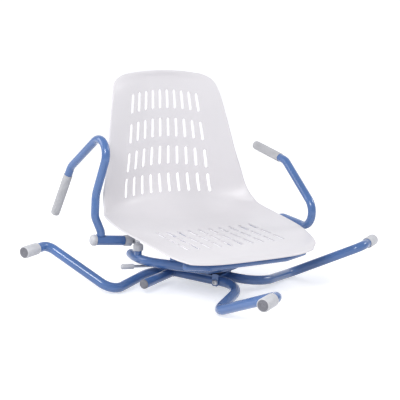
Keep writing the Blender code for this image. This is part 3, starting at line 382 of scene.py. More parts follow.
def flat_mesh(outline, thickness, holes=()):
    """A plate from a 2D outline, standing on Z = 0."""
    curve = bpy.data.curves.new("flat", "CURVE")
    curve.dimensions = "2D"
    curve.fill_mode = "BOTH"
    curve.extrude = mm(thickness / 2.0)
    for loop in (outline, *holes):
        spline = curve.splines.new("POLY")
        spline.points.add(len(loop) - 1)
        for target, point in zip(spline.points, loop):
            target.co = (mm(point[0]), mm(point[1]), 0.0, 1.0)
        spline.use_cyclic_u = True
    mesh = weld(mesh_of(linked("guide", curve)))
    bpy.data.curves.remove(curve)
    mesh.transform(moved(0.0, 0.0, thickness / 2.0))
    return mesh


def circle(radius, centre=(0.0, 0.0), count=ROUND):
    return [(centre[0] + radius * math.cos(2.0 * math.pi * i / count),
             centre[1] + radius * math.sin(2.0 * math.pi * i / count)) for i in range(count)]


def rounded_polygon(corners, radius):
    points = []
    for index, corner in enumerate(corners):
        before = corners[index - 1]
        after = corners[(index + 1) % len(corners)]
        leg = filleted_path([(*before, 0.0), (*corner, 0.0, radius), (*after, 0.0)], 10.0)
        points += [(point.x, point.y) for point in leg[1:-1]]
    return points


def rounded_box(half, low, high, radius):
    return rounded_polygon([(half, low), (half, high), (-half, high), (-half, low)], radius)


def join_meshes(pieces):
    """One mesh from several (mesh, matrix) pairs."""
    bm = bmesh.new()
    for mesh, matrix in pieces:
        copy = mesh.copy()
        copy.transform(matrix)
        bm.from_mesh(copy)
        bpy.data.meshes.remove(copy)
    return filled(bpy.data.meshes.new("joined"), bm)


def cut(mesh, cutter, operation="DIFFERENCE"):
    body = linked("guide", mesh)
    tool = linked("guide", cutter)
    modifier = body.modifiers.new("cut", "BOOLEAN")
    modifier.operation = operation
    modifier.solver = "EXACT"
    modifier.object = tool
    made = mesh_of(body)
    bpy.data.objects.remove(tool, do_unlink=True)
    return made


def bevelled(mesh, width, segments=3, degrees=35.0):
    """Rounds a mesh's sharp edges."""
    obj = linked("guide", mesh)
    modifier = obj.modifiers.new("edges", "BEVEL")
    modifier.width = mm(width)
    modifier.segments = segments
    modifier.limit_method = "ANGLE"
    modifier.angle_limit = math.radians(degrees)
    return mesh_of(obj)


def torus_mesh(radius, thickness):
    """A weld bead round Z, its thickness wandering a little."""
    steps = 72
    sides = 12
    bm = bmesh.new()
    rings = []
    for step in range(steps):
        angle = 2.0 * math.pi * step / steps
        drift = noise.noise(Vector((math.cos(angle) * 6.0, math.sin(angle) * 6.0, radius))) * 0.5
        grown = thickness * (1.0 + drift)
        ring = []
        for side in range(sides):
            around = 2.0 * math.pi * side / sides
            r = radius + grown * math.cos(around)
            ring.append(bm.verts.new(mm_vector(r * math.cos(angle), r * math.sin(angle),
                                               grown * math.sin(around))))
        rings.append(ring)
    for step in range(steps):
        here = rings[step]
        after = rings[(step + 1) % steps]
        for side in range(sides):
            next_side = (side + 1) % sides
            bm.faces.new((here[side], after[side], after[next_side], here[next_side]))
    return filled(bpy.data.meshes.new("torus"), bm)


def bead_mesh(start, end):
    """A straight weld bead with small ripples and thinner ends."""
    count = 60
    start = Vector(start)
    run = Vector(end) - start
    points = []
    radii = []
    for index in range(count + 1):
        share = index / count
        points.append(start + run * share)
        ends = min(1.0, 6.0 * min(share, 1.0 - share) + 0.25)
        ripple = 1.0 + 0.175 * noise.noise(Vector((share * run.length / 3.0, WELD_R, 0.0)))
        radii.append(WELD_R * ends * ripple)
    return tube_mesh(points, radii, 4)


# Pieces

def piece(name, mesh, finish, body, matrix=None, stands_for=(), degrees=35.0):
    """A shown piece in its finish, riding on a body and standing for CAD nodes."""
    if matrix is not None:
        mesh.transform(matrix)
    mesh.shade_smooth()
    mesh.set_sharp_from_angle(angle=math.radians(degrees))
    obj = linked(name, mesh)
    mesh.materials.clear()
    mesh.materials.append(FINISHES[finish])
    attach(obj, body)
    if stands_for:
        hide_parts(*stands_for)


def seat_steel(name, mesh, node=None, at=SEAT):
    """A painted piece of the turning frame."""
    piece(name, mesh, "blue_paint", "seat", at, (node,) if node else ())


# Materials

class Nodes:
    """Short calls for a material's nodes."""

    def __init__(self, name):
        self.material = bpy.data.materials.new(name)
        self.material.use_nodes = True
        self.tree = self.material.node_tree
        self.shader = self.tree.nodes["Principled BSDF"]
        self.place = self.add("ShaderNodeTexCoord").outputs["Object"]

    def add(self, kind, **sockets):
        return self.set(self.tree.nodes.new(kind), **sockets)

    def set(self, node, **sockets):
        """Puts values on a node's sockets, whose names take an underscore for a space."""
        for key, value in sockets.items():
            node.inputs[key.replace("_", " ")].default_value = value
        return node

    def link(self, source, target):
        self.tree.links.new(source, target)

    def surface(self, colour, roughness, normal):
        for socket, source in (("Base Color", colour), ("Roughness", roughness), ("Normal", normal)):
            self.link(source, self.shader.inputs[socket])

    def noise(self, scale, detail=3.0, roughness=0.5, stretch=None):
        texture = self.add("ShaderNodeTexNoise", Scale=scale, Detail=detail, Roughness=roughness)
        source = self.place
        if stretch:
            mapping = self.add("ShaderNodeMapping", Scale=stretch)
            self.link(self.place, mapping.inputs["Vector"])
            source = mapping.outputs["Vector"]
        self.link(source, texture.inputs["Vector"])
        return texture.outputs["Fac"]

    def ramp(self, source, stops):
        ramp = self.add("ShaderNodeValToRGB")
        elements = ramp.color_ramp.elements
        while len(elements) < len(stops):
            elements.new(0.5)
        for element, (position, colour) in zip(elements, stops):
            element.position = position
            element.color = colour
        self.link(source, ramp.inputs["Fac"])
        return ramp.outputs["Color"]

    def spread(self, source, low, high):
        """A number that follows a noise, mostly between two values. It isn't clipped at either."""
        middle = (low + high) / 2.0
        reach = (high - low) * 1.25
        spread = self.add("ShaderNodeMapRange", From_Min=0.0, From_Max=1.0,
                          To_Min=middle - reach, To_Max=middle + reach)
        self.link(source, spread.inputs["Value"])
        return spread.outputs["Result"]

    def bump(self, source, strength, depth, before=None):
        bump = self.add("ShaderNodeBump", Strength=strength, Distance=depth)
        self.link(source, bump.inputs["Height"])
        if before is not None:
            self.link(before, bump.inputs["Normal"])
        return bump.outputs["Normal"]


def shade(colour, factor):
    return tuple(channel * factor for channel in colour[:3]) + (1.0,)


def painted_steel():
    """Stoved gloss paint: faint orange peel and slight pooling of colour."""
    n = Nodes("blue_paint")
    colour = (0.075, 0.165, 0.400, 1.0)
    patches = n.noise(9.0, 4.0, 0.55)
    waves = n.bump(n.noise(38.0, 2.0), 0.12, 0.0012)
    n.surface(n.ramp(patches, [(0.32, shade(colour, 0.90)), (0.68, shade(colour, 1.10))]),
              n.spread(n.noise(60.0, 3.0), 0.17, 0.24),
              n.bump(n.noise(330.0, 1.0), 0.05, 0.0002, waves))
    n.set(n.shader, Coat_Weight=0.5, Coat_Roughness=0.08)
    return n.material


def moulded_shell():
    """Glossy moulded polypropylene with a faint flow pattern and a fine grain."""
    n = Nodes("white_shell")
    colour = (0.790, 0.765, 0.778, 1.0)
    flow = n.noise(5.5, 4.0, 0.5, (1.0, 1.0, 0.5))
    waves = n.bump(n.noise(11.0, 1.0), 0.05, 0.0010)
    n.surface(n.ramp(flow, [(0.30, shade(colour, 0.965)), (0.70, shade(colour, 1.03))]),
              n.spread(n.noise(34.0, 3.0), 0.31, 0.39),
              n.bump(n.noise(420.0, 1.0), 0.03, 0.0001, waves))
    n.set(n.shader, Subsurface_Weight=0.06, Subsurface_Radius=(0.004, 0.004, 0.004), IOR=1.49)
    return n.material


def fine_plastic(name, colour, rough_low, rough_high, grain=1200.0, mottle=0.05):
    """Small moulded fittings: slight mottling and a matt mould grain."""
    n = Nodes(name)
    patches = n.noise(45.0, 4.0, 0.6)
    tones = [(0.30, shade(colour, 1.0 - mottle)), (0.70, shade(colour, 1.0 + mottle))]
    n.surface(n.ramp(patches, tones), n.spread(n.noise(130.0, 2.0), rough_low, rough_high),
              n.bump(n.noise(grain, 2.0), 0.08, 0.00012))
    return n.material


def zinc_plate():
    """Zinc plated steel: drawn streaks and cloudy passivation."""
    n = Nodes("zinc_steel")
    clouds = n.noise(85.0, 5.0, 0.6)
    n.surface(n.ramp(clouds, [(0.30, (0.40, 0.41, 0.44, 1.0)), (0.70, (0.62, 0.63, 0.66, 1.0))]),
              n.spread(n.noise(240.0, 3.0), 0.32, 0.42),
              n.bump(n.noise(500.0, 3.0, 0.6, (0.15, 0.15, 1.0)), 0.15, 0.00015))
    n.set(n.shader, Metallic=1.0)
    return n.material


FINISHES = {
    "blue_paint": painted_steel(),
    "white_shell": moulded_shell(),
    "white_plastic": fine_plastic("white_plastic", (0.62, 0.62, 0.64), 0.34, 0.44),
    "grip_plastic": fine_plastic("grip_plastic", (0.54, 0.54, 0.555), 0.42, 0.58, 900.0, 0.06),
    "grey_plastic": fine_plastic("grey_plastic", (0.20, 0.20, 0.225), 0.42, 0.60, 700.0, 0.10),
    "bearing_plastic": fine_plastic("bearing_plastic", (0.030, 0.030, 0.034), 0.40, 0.55, 800.0, 0.12),
    "zinc_steel": zinc_plate(),
}


# Base

def base_tube_points():
    """Centre line of the near base tube, from its left foot to its right one."""
    tube_end = -RIM_HALF + FOOT_PLUG_DEPTH + GAP
    return filleted_path([
        (-FOOT_SPREAD, tube_end, FOOT_LEVEL),
        (-FOOT_SPREAD, -RIM_HALF + RISE_LEFT_RUN, FOOT_LEVEL, RISE_BEND_R),
        (MIDDLE_LEFT + LEFT_LEG_TOE, -LEFT_LEG_REACH, LEG_LEVEL, BEND_R),
        (MIDDLE_LEFT, -CROSS_HALF_GAP, TUBE_LEVEL, CROSS_BEND_R),
        (MIDDLE_RIGHT, -CROSS_HALF_GAP, TUBE_LEVEL, CROSS_BEND_R),
        (MIDDLE_RIGHT + RIGHT_LEG_TOE, -RIGHT_LEG_REACH, LEG_LEVEL, BEND_R),
        (FOOT_SPREAD, -RIM_HALF + RISE_RIGHT_RUN, FOOT_LEVEL, RISE_BEND_R),
        (FOOT_SPREAD, tube_end, FOOT_LEVEL),
    ])


def foot_profile():
    """Foot sleeve from its outer end at Z = 0, with rounded edges and a slight taper."""
    bore = TUBE_R + GAP
    mouth = FOOT_PLUG_R + GAP
    side = [(FOOT_R - 1.6, FOOT_LENGTH), (FOOT_R - 0.6, FOOT_LENGTH - 0.6),
            (FOOT_R - 0.2, FOOT_LENGTH - 2.0), (FOOT_R, 3.0), (FOOT_R - 0.4, 1.2), (FOOT_R - 1.6, 0.0)]
    return side + [(mouth, 0.0), (mouth, FOOT_PLUG_DEPTH), (bore, FOOT_PLUG_DEPTH), (bore, FOOT_LENGTH)]


def foot_plug_profile():
    """Plug with raised rings round a dished middle."""
    back = FOOT_PLUG_DEPTH - GAP
    rings = [(12.2, 0.0), (9.9, 0.0), (9.5, 0.8), (8.6, 0.8), (8.2, 0.1),
             (6.6, 0.1), (6.2, 1.2), (3.2, 1.2), (2.6, 0.6), (0.0, 0.5)]
    return [(0.0, back), (FOOT_PLUG_R, back), (FOOT_PLUG_R, 0.4), *rings]


def add_base():
    for name, turn in (("near", 0.0), ("far", math.pi)):
        at = spun(turn, "Z")
        piece("tube_" + name, tube_mesh(base_tube_points(), TUBE_R), "blue_paint", "base", at,
              ("base_tube_" + name,))
        for label, aside in (("outer", -WELD_ASIDE), ("inner", WELD_ASIDE)):
            y = -CROSS_HALF_GAP + aside
            bead = bead_mesh((-HUB_PLATE_HALF + WELD_INSET, y, BASE_PLATE_Z - 1.4),
                             (HUB_PLATE_HALF - WELD_INSET, y, BASE_PLATE_Z - 1.4))
            piece("plate_weld_" + name + "_" + label, bead, "blue_paint", "base", at)
    for name, sx, sy in (("near_left", -1, -1), ("near_right", 1, -1),
                         ("far_right", 1, 1), ("far_left", -1, 1)):
        outer = (sx * FOOT_SPREAD, sy * RIM_HALF, FOOT_LEVEL)
        inner = (sx * FOOT_SPREAD, sy * (RIM_HALF - FOOT_LENGTH), FOOT_LEVEL)
        at = axis_matrix(outer, inner)
        sleeve = bevelled(turned_mesh(foot_profile()), 0.35, 2, 30.0)
        piece("sleeve_" + name, sleeve, "white_plastic", "base", at, ("foot_" + name,))
        plug = bevelled(turned_mesh(foot_plug_profile()), 0.2, 2, 30.0)
        piece("rings_" + name, plug, "grey_plastic", "base", at, ("foot_plug_" + name,))


def saddle_bead_mesh():
    """Weld bead round the mouth of the stop tube, along the line where two tubes of one size meet."""
    points = []
    radii = []
    steps = 96
    reach = TUBE_R + 0.3
    for step in range(steps + 1):
        angle = 2.0 * math.pi * step / steps
        points.append((STOP_TUBE_X + reach * math.cos(angle),
                       -CROSS_HALF_GAP - reach * abs(math.cos(angle)) - 0.6,
                       TUBE_LEVEL + (TUBE_R - 0.3) * math.sin(angle)))
        drift = noise.noise(Vector((math.cos(angle) * 7.0, math.sin(angle) * 7.0, 3.0)))
        radii.append(WELD_R * (1.0 + 0.25 * drift))
    return tube_mesh(points, radii, 4)


def add_side_stop():
    end_y = BASE_FACE_Y - STOP_TUBE_LENGTH
    start = (STOP_TUBE_X, -CROSS_HALF_GAP, TUBE_LEVEL)
    tube = tube_mesh([start, (STOP_TUBE_X, end_y, TUBE_LEVEL)], TUBE_R)
    piece("stop_tube", tube, "blue_paint", "base", None, ("side_stop_tube",))
    piece("stop_weld", saddle_bead_mesh(), "blue_paint", "base")
    at = axis_matrix((STOP_TUBE_X, end_y - GAP, TUBE_LEVEL), (STOP_TUBE_X, end_y - 5.0, TUBE_LEVEL))
    plug = [(0.0, STOP_PLUG_DEPTH), (7.0, 5.9), (9.4, 5.0), (11.3, 3.4), (12.2, 1.6), (TUBE_R, 0.0),
            (0.0, 0.0)]
    piece("stop_plug", turned_mesh(plug), "grey_plastic", "base", at, ("side_stop_plug",))


def hex_nut_mesh(radius, height, bore):
    """Hexagon nut with its corners chamfered by a turned cutter."""
    nut = flat_mesh(circle(radius, count=6), height, [circle(bore, count=48)] if bore else [])
    chamfer = 1.2
    round_blank = turned_mesh([(0.0, height), (radius - chamfer, height),
                               (radius + 0.1, height - chamfer * 0.7), (radius + 0.1, chamfer * 0.7),
                               (radius - chamfer, 0.0), (0.0, 0.0)])
    return cut(nut, round_blank, "INTERSECT")


def add_hub():
    outline = rounded_box(HUB_PLATE_HALF, BASE_FACE_Y, -BASE_FACE_Y, PLATE_CORNER)
    plate = bevelled(flat_mesh(outline, HUB_PLATE_T, [circle(PIVOT_R + GAP)]), 0.7)
    piece("base_plate", plate, "blue_paint", "base",
          moved(0.0, 0.0, BASE_PLATE_Z), ("hub_base_plate",))
    for name, low, body in (("lower", LOWER_RING_Z, "base"), ("upper", UPPER_RING_Z, "seat")):
        profile = ring_profile(RING_R, RING_BORE_R, low, low + RING_T, 0.5)
        piece("ring_" + name, turned_mesh(profile, 96), "bearing_plastic", body, None,
              ("bearing_ring_" + name,))
    head_top = BASE_PLATE_Z - GAP
    washer_z = SWIVEL_PLATE_TOP + GAP
    washer_top = washer_z + PIVOT_WASHER_T
    nut_z = washer_top + GAP
    bolt_top = nut_z + PIVOT_NUT_T + PIVOT_END
    thread = [(PIVOT_R, head_top)]
    pitch = 1.5
    level = nut_z
    while level < bolt_top - pitch:
        thread += [(PIVOT_R, level), (PIVOT_R - 0.7, level + pitch / 2.0)]
        level += pitch
    shank = [(0.0, bolt_top), (PIVOT_R - 1.2, bolt_top)] + thread[::-1] + [(0.0, head_top)]
    head = hex_nut_mesh(PIVOT_HEAD_R, PIVOT_HEAD_T, 0.0)
    bolt = join_meshes([(turned_mesh(shank), Matrix.Identity(4)),
                        (head, moved(0.0, 0.0, head_top - PIVOT_HEAD_T))])
    piece("bolt_pivot", bolt, "zinc_steel", "base", None, ("pivot_bolt",))
    washer = ring_profile(PIVOT_WASHER_R, PIVOT_R + GAP, washer_z, washer_top, 0.2)
    piece("washer_pivot", turned_mesh(washer), "zinc_steel", "base", None, ("pivot_washer",))
    piece("nut_pivot", hex_nut_mesh(PIVOT_NUT_R, PIVOT_NUT_T, PIVOT_R + GAP), "zinc_steel", "base",
          moved(0.0, 0.0, nut_z), ("pivot_nut",))


def add_index_bracket():
    face_y = BASE_FACE_Y - GAP
    bottom = TUBE_LEVEL - TUBE_R + BRACKET_FOOT
    height = SWIVEL_PLATE_Z - RUN_GAP - bottom
    x = math.sqrt((RING_R + BRACKET_RING_GAP) ** 2 - face_y ** 2) + BRACKET_HALF
    outline = rounded_box(BRACKET_HALF, 0.0, height, BRACKET_CORNER)
    hole = circle(BRACKET_BOLT_R + GAP, (0.0, TUBE_LEVEL - bottom), 40)
    strap = bevelled(flat_mesh(outline, BRACKET_T, [hole]), 0.6)
    at = moved(x, face_y, bottom) @ spun(QUARTER, "X")
    piece("bracket", strap, "blue_paint", "base", at, ("index_bracket",))
    head_y = face_y - BRACKET_T - GAP
    dome = [(0.0, 4.5), (2.4, 4.35), (4.6, 3.8), (6.4, 2.8), (7.6, 1.4), (8.0, 0.0),
            (BRACKET_BOLT_R, 0.0), (BRACKET_BOLT_R, -BRACKET_T), (0.0, -BRACKET_T)]
    at = axis_matrix((x, head_y, TUBE_LEVEL), (x, head_y - 1.0, TUBE_LEVEL))
    socket = flat_mesh(circle(2.9, count=6), 6.0)
    socket.transform(moved(0.0, 0.0, 2.0))
    bolt = cut(turned_mesh(dome), socket)
    piece("bracket_bolt", bolt, "zinc_steel", "base", at, ("index_bracket_bolt",))


# Turning frame

def frame_points(arc_step=ARC_STEP):
    """Centre line of the horseshoe tube, from its -X end round the front to its +X end."""
    left = [(-FRAME_END_HALF, FRAME_END_Y, FRAME_LEVEL),
            (-FRAME_SIDE_HALF, FRAME_SIDE_Y, FRAME_LEVEL, FRAME_SIDE_BEND_R),
            (-FRAME_FRONT_HALF, -FRAME_FRONT, FRAME_LEVEL, FRAME_FRONT_BEND_R)]
    right = [(-corner[0],) + corner[1:] for corner in reversed(left)]
    return filleted_path(left + right, arc_step)


def frame_half_at(y):
    """Middle to the horseshoe tube's centre line, on the solids' coarser rings."""
    points = [point for point in frame_points(18.0) if point.x > 0.0]
    for front, rear in zip(points, points[1:]):
        if front.y <= y <= rear.y:
            return front.x + (rear.x - front.x) * (y - front.y) / (rear.y - front.y)
    return points[-1].x


def add_seat_frame():
    corners = [(SWIVEL_PLATE_HALF, 0.0), (SWIVEL_PLATE_HALF, SWIVEL_PLATE_REAR),
               (-SWIVEL_PLATE_HALF, SWIVEL_PLATE_REAR), (-SWIVEL_PLATE_HALF, 0.0),
               (-SWIVEL_PLATE_FRONT_HALF, -SWIVEL_PLATE_FRONT),
               (SWIVEL_PLATE_FRONT_HALF, -SWIVEL_PLATE_FRONT)]
    holes = [circle(PIVOT_R + RUN_GAP), circle(LEVER_PIN_R + GAP, (LEVER_X, LEVER_Y), 32)]
    plate = bevelled(flat_mesh(rounded_polygon(corners, PLATE_CORNER), SWIVEL_PLATE_T, holes), 0.6)
    seat_steel("turning_plate", plate, "swivel_plate", SEAT @ moved(0.0, 0.0, SWIVEL_PLATE_Z))
    points = frame_points()
    seat_steel("horseshoe_tube", tube_mesh(points, TUBE_R), "seat_frame_tube")
    weld_z = SWIVEL_PLATE_TOP + 1.2
    for label, side in (("right", -1.0), ("left", 1.0)):
        bead = bead_mesh((side * 56.0, -42.0, weld_z), (side * 90.0, -4.5, weld_z))
        seat_steel("horseshoe_weld_" + label, bead)
    weld_y = -FRAME_FRONT + WELD_ASIDE
    seat_steel("horseshoe_weld_front", bead_mesh((-18.0, weld_y, weld_z), (18.0, weld_y, weld_z)))
    for name, end, inner in (("right", points[-1], points[-2]), ("left", points[0], points[1])):
        ahead = (Vector(end) - Vector(inner)).normalized()
        start = Vector(end) + ahead * GAP
        plug = [(0.0, 3.0), (8.8, 2.9), (11.0, 2.2), (12.1, 1.0), (TUBE_R, 0.0), (0.0, 0.0)]
        piece("horseshoe_plug_" + name, turned_mesh(plug), "white_plastic", "seat",
              SEAT @ axis_matrix(start, start + ahead), ("frame_plug_" + name,))


# Shell

def shell_stations():
    """Sections of the shell from its lip to its top edge, each with the centre and one side.

    Rows are (centre y, z), (side x, y, z) in shares of the reaches, half width and height.
    """
    sections = [
        ((-1.00, -0.026), (0.735, -0.925, -0.016)),
        ((-0.90, -0.009), (0.870, -0.755, 0.010)),
        ((-0.56, 0.000), (0.953, -0.370, 0.039)),
        ((0.07, 0.000), (0.997, 0.125, 0.055)),
        ((0.57, 0.022), (0.985, 0.436, 0.078)),
        ((0.81, 0.085), (0.952, 0.530, 0.112)),
        ((0.905, 0.230), (0.915, 0.622, 0.193)),
        ((0.922, 0.400), (0.868, 0.665, 0.308)),
        ((0.930, 0.537), (0.818, 0.720, 0.442)),
        ((0.962, 0.745), (0.752, 0.806, 0.660)),
        ((0.990, 0.905), (0.690, 0.878, 0.838)),
        ((0.995, 0.955), (0.650, 0.925, 0.912)),
        ((0.986, 0.978), (0.565, 0.955, 0.954)),
        ((0.982, 0.988), (0.430, 0.970, 0.975)),
    ]
    made = []
    for (cy, cz), (ex, ey, ez) in sections:
        centre_reach = PAN_REACH if cy < 0.0 else BACK_REACH
        edge_reach = PAN_REACH if ey < 0.0 else BACK_REACH
        made.append((cy * centre_reach, PAN_LEVEL + cz * BACK_HEIGHT,
                     ex * SHELL_HALF - RIM_ROLL, ey * edge_reach, PAN_LEVEL + ez * BACK_HEIGHT))
    return made


STATIONS = shell_stations()


def between(values, place_at):
    """A smooth curve through values at whole places."""
    count = len(values)
    index = min(int(place_at), count - 2)
    t = place_at - index
    p1 = values[index]
    p2 = values[index + 1]
    p0 = values[index - 1] if index > 0 else 2.0 * p1 - p2
    p3 = values[index + 2] if index + 2 < count else 2.0 * p2 - p1
    m1 = (p2 - p0) / 2.0
    m2 = (p3 - p1) / 2.0
    return ((2 * t ** 3 - 3 * t ** 2 + 1) * p1 + (t ** 3 - 2 * t ** 2 + t) * m1
            + (-2 * t ** 3 + 3 * t ** 2) * p2 + (t ** 3 - t ** 2) * m2)


def shell_point(along, across):
    """Top surface of the shell: along is 0 at the lip and 1 at the top edge, across is -1 to 1."""
    place_at = along * (len(STATIONS) - 1)
    cy, cz, ex, ey, ez = (between([station[i] for station in STATIONS], place_at) for i in range(5))
    upright = min(1.0, max(0.0, (place_at - UPRIGHT_START) / UPRIGHT_RUN))
    lift = abs(across) ** (PAN_CURVE + (BACK_CURVE - PAN_CURVE) * upright)
    return Vector((ex * across, cy + (ey - cy) * lift, cz + (ez - cz) * lift))


def place_along(axis, value, low, high):
    """How far along the shell its centre line reaches a y or z value."""
    for _ in range(HALVINGS):
        middle = (low + high) / 2.0
        if shell_point(middle, 0.0)[axis] < value:
            low = middle
        else:
            high = middle
    return (low + high) / 2.0


def shell_sheet():
    """Top surface with its edge rolled down in small steps."""
    rows = SHELL_ROWS
    columns = SHELL_COLUMNS
    bm = bmesh.new()
    grid = []
    for row in range(rows + 1):
        line = []
        for column in range(columns + 1):
            share = column / columns * 2.0 - 1.0
            across = math.copysign(abs(share) ** COLUMN_CROWDING, share)
            line.append(bm.verts.new(mm(shell_point(row / rows, across))))
        grid.append(line)
    for row in range(rows):
        for column in range(columns):
            bm.faces.new((grid[row][column], grid[row][column + 1],
                          grid[row + 1][column + 1], grid[row + 1][column]))
    bm.normal_update()
    border = [grid[0][c] for c in range(columns)] + [grid[r][columns] for r in range(rows)]
    border += [grid[rows][c] for c in range(columns, 0, -1)] + [grid[r][0] for r in range(rows, 0, -1)]
    count = len(border)
    directions = []
    for index, vert in enumerate(border):
        run = border[(index + 1) % count].co - border[index - 1].co
        directions.append((vert.co.copy(), run.cross(vert.normal).normalized(), vert.normal.copy()))
    before = border
    for degrees in (12.0, 24.0, 36.0, 48.0, 60.0, 75.0):
        angle = math.radians(degrees)
        ring = []
        for base, out, normal in directions:
            reach = out * math.sin(angle) - normal * (1.0 - math.cos(angle))
            ring.append(bm.verts.new(base + reach * mm(RIM_ROLL)))
        for index in range(count):
            after = (index + 1) % count
            bm.faces.new((before[after], before[index], ring[index], ring[after]))
        before = ring
    bmesh.ops.recalc_face_normals(bm, faces=bm.faces)
    bm.normal_update()
    if grid[0][columns // 2].normal.z < 0.0:
        bmesh.ops.reverse_faces(bm, faces=bm.faces)
    return filled(bpy.data.meshes.new("shell_sheet"), bm)


def slot_outline(length):
    """A slot with round ends, along Y."""
    steps = 8
    radius = SLOT_WIDTH / 2.0
    straight = length / 2.0 - radius
    points = []
    for centre, first in ((straight, 0.0), (-straight, 180.0)):
        for step in range(steps + 1):
            angle = math.radians(first + 180.0 * step / steps)
            points.append((radius * math.cos(angle), centre + radius * math.sin(angle)))
    return points


def slot_cuts():
    """Cutters for the fanned slots of the back and the straight ones of the pan."""
    cuts = []
    middle = (ROW_SLOTS - 1) / 2.0
    half_cut = SLOT_CUT_DEPTH / 2.0
    slot = flat_mesh(slot_outline(BACK_SLOT_LENGTH), SLOT_CUT_DEPTH)
    through = spun(QUARTER, "X")
    for row in range(BACK_SLOT_ROWS):
        narrowing = (BACK_SLOT_PITCH_HIGH - BACK_SLOT_PITCH_LOW) * row / (BACK_SLOT_ROWS - 1)
        pitch = BACK_SLOT_PITCH_LOW + narrowing
        along = place_along(2, BACK_SLOT_FIRST + BACK_SLOT_ROW_PITCH * row, BACK_START, 1.0)
        for index in range(ROW_SLOTS):
            x = (index - middle) * pitch
            point = shell_point(along, x / shell_point(along, 1.0).x)
            start = moved(x, point.y + half_cut, point.z)
            lean = spun((index - middle) * BACK_SLOT_FAN, "Z")
            cuts.append((slot, start @ through @ lean))
    slot = flat_mesh(slot_outline(PAN_SLOT_LENGTH), SLOT_CUT_DEPTH)
    for row in range(PAN_SLOT_ROWS):
        y = PAN_SLOT_FIRST - PAN_SLOT_ROW_PITCH * row
        for index in range(ROW_SLOTS):
            x = (index - middle) * PAN_SLOT_PITCH
            cuts.append((slot, moved(x, y, PAN_LEVEL - half_cut)))
    return join_meshes(cuts)


def add_shell():
    obj = linked("guide", shell_sheet())
    solid = obj.modifiers.new("wall", "SOLIDIFY")
    solid.thickness = mm(WALL)
    solid.offset = -1.0
    solid.use_even_offset = True
    slotted = cut(mesh_of(obj), slot_cuts())
    piece("moulded_shell", slotted, "white_shell", "seat", SEAT, ("seat_shell",), 45.0)


def pan_underside(x, y, radius):
    """Lowest height of the pan's underside over a round patch."""
    heights = []
    for spot_x, spot_y in [(x, y)] + circle(radius, (x, y), 20):
        along = place_along(1, spot_y, 0.0, BACK_START)
        across = spot_x / shell_point(along, 1.0).x
        here = shell_point(along, across)
        ahead = shell_point(along + 0.01, across) - here
        aside = shell_point(along, across + 0.01) - here
        heights.append(here.z - WALL / abs(ahead.cross(aside).normalized().z))
    return min(heights)


def add_supports():
    """Spacers, struts and front bar between the turning frame and the pan."""
    frame_top = FRAME_LEVEL + TUBE_R + GAP
    bar_top = FRONT_BAR_Z + FRONT_BAR_R + GAP
    end_y = FRONT_BAR_Y + FRONT_BAR_R + GAP
    for side, name in ((-1, "right"), (1, "left")):
        for kind, x, y, bottom in (("rear", side * frame_half_at(0.0), 0.0, frame_top),
                                   ("front", side * FRONT_SPACER_X, FRONT_BAR_Y, bar_top)):
            top = pan_underside(x, y, SPACER_R) - 0.8
            post = [(0.0, top), (SPACER_R, top), (SPACER_R, bottom), (0.0, bottom)]
            post = bevelled(turned_mesh(post), 0.8)
            seat_steel(kind + "_post_" + name, post, kind + "_spacer_" + name, SEAT @ moved(x, y, 0.0))
        x = side * STRUT_X
        strut = filleted_path([(x, -FRAME_FRONT, frame_top),
                               (x, -FRAME_FRONT, FRONT_BAR_Z, STRUT_BEND_R), (x, end_y, FRONT_BAR_Z)])
        seat_steel("strut_" + name, tube_mesh(strut, STRUT_R), "front_strut_" + name)
        foot = (x, -FRAME_FRONT, frame_top - 0.7), (x, -FRAME_FRONT, frame_top + 9.0)
        bar = (x, end_y - 0.4, FRONT_BAR_Z), (x, end_y + 9.0, FRONT_BAR_Z)
        for label, (start, ahead) in (("foot", foot), ("bar", bar)):
            seat_steel("strut_weld_" + label + "_" + name, torus_mesh(STRUT_R + 0.3, 1.4),
                       at=SEAT @ axis_matrix(start, ahead))
    half = [(FRONT_BAR_HALF, FRONT_BAR_Y + FRONT_BAR_SWEEP, FRONT_BAR_Z + FRONT_BAR_LIFT),
            (FRONT_BAR_HALF * FRONT_BAR_STRAIGHT, FRONT_BAR_Y, FRONT_BAR_Z, FRONT_BAR_BEND_R)]
    bar = filleted_path(half + [(-corner[0], *corner[1:]) for corner in reversed(half)])
    seat_steel("lip_bar", domed_bar_mesh(bar, FRONT_BAR_R), "front_bar")


# Arms

def pivot_matrix(side, raised=0.0):
    """Axes of an arm pivot: X along the pivot, -Y forward. Side is 1 for the sitter's left."""
    at = moved(side * PIVOT_HALF, PIVOT_Y, PIVOT_Z)
    return SEAT @ at @ spun(-side * PIVOT_TILT, "Y") @ spun(-raised, "X")


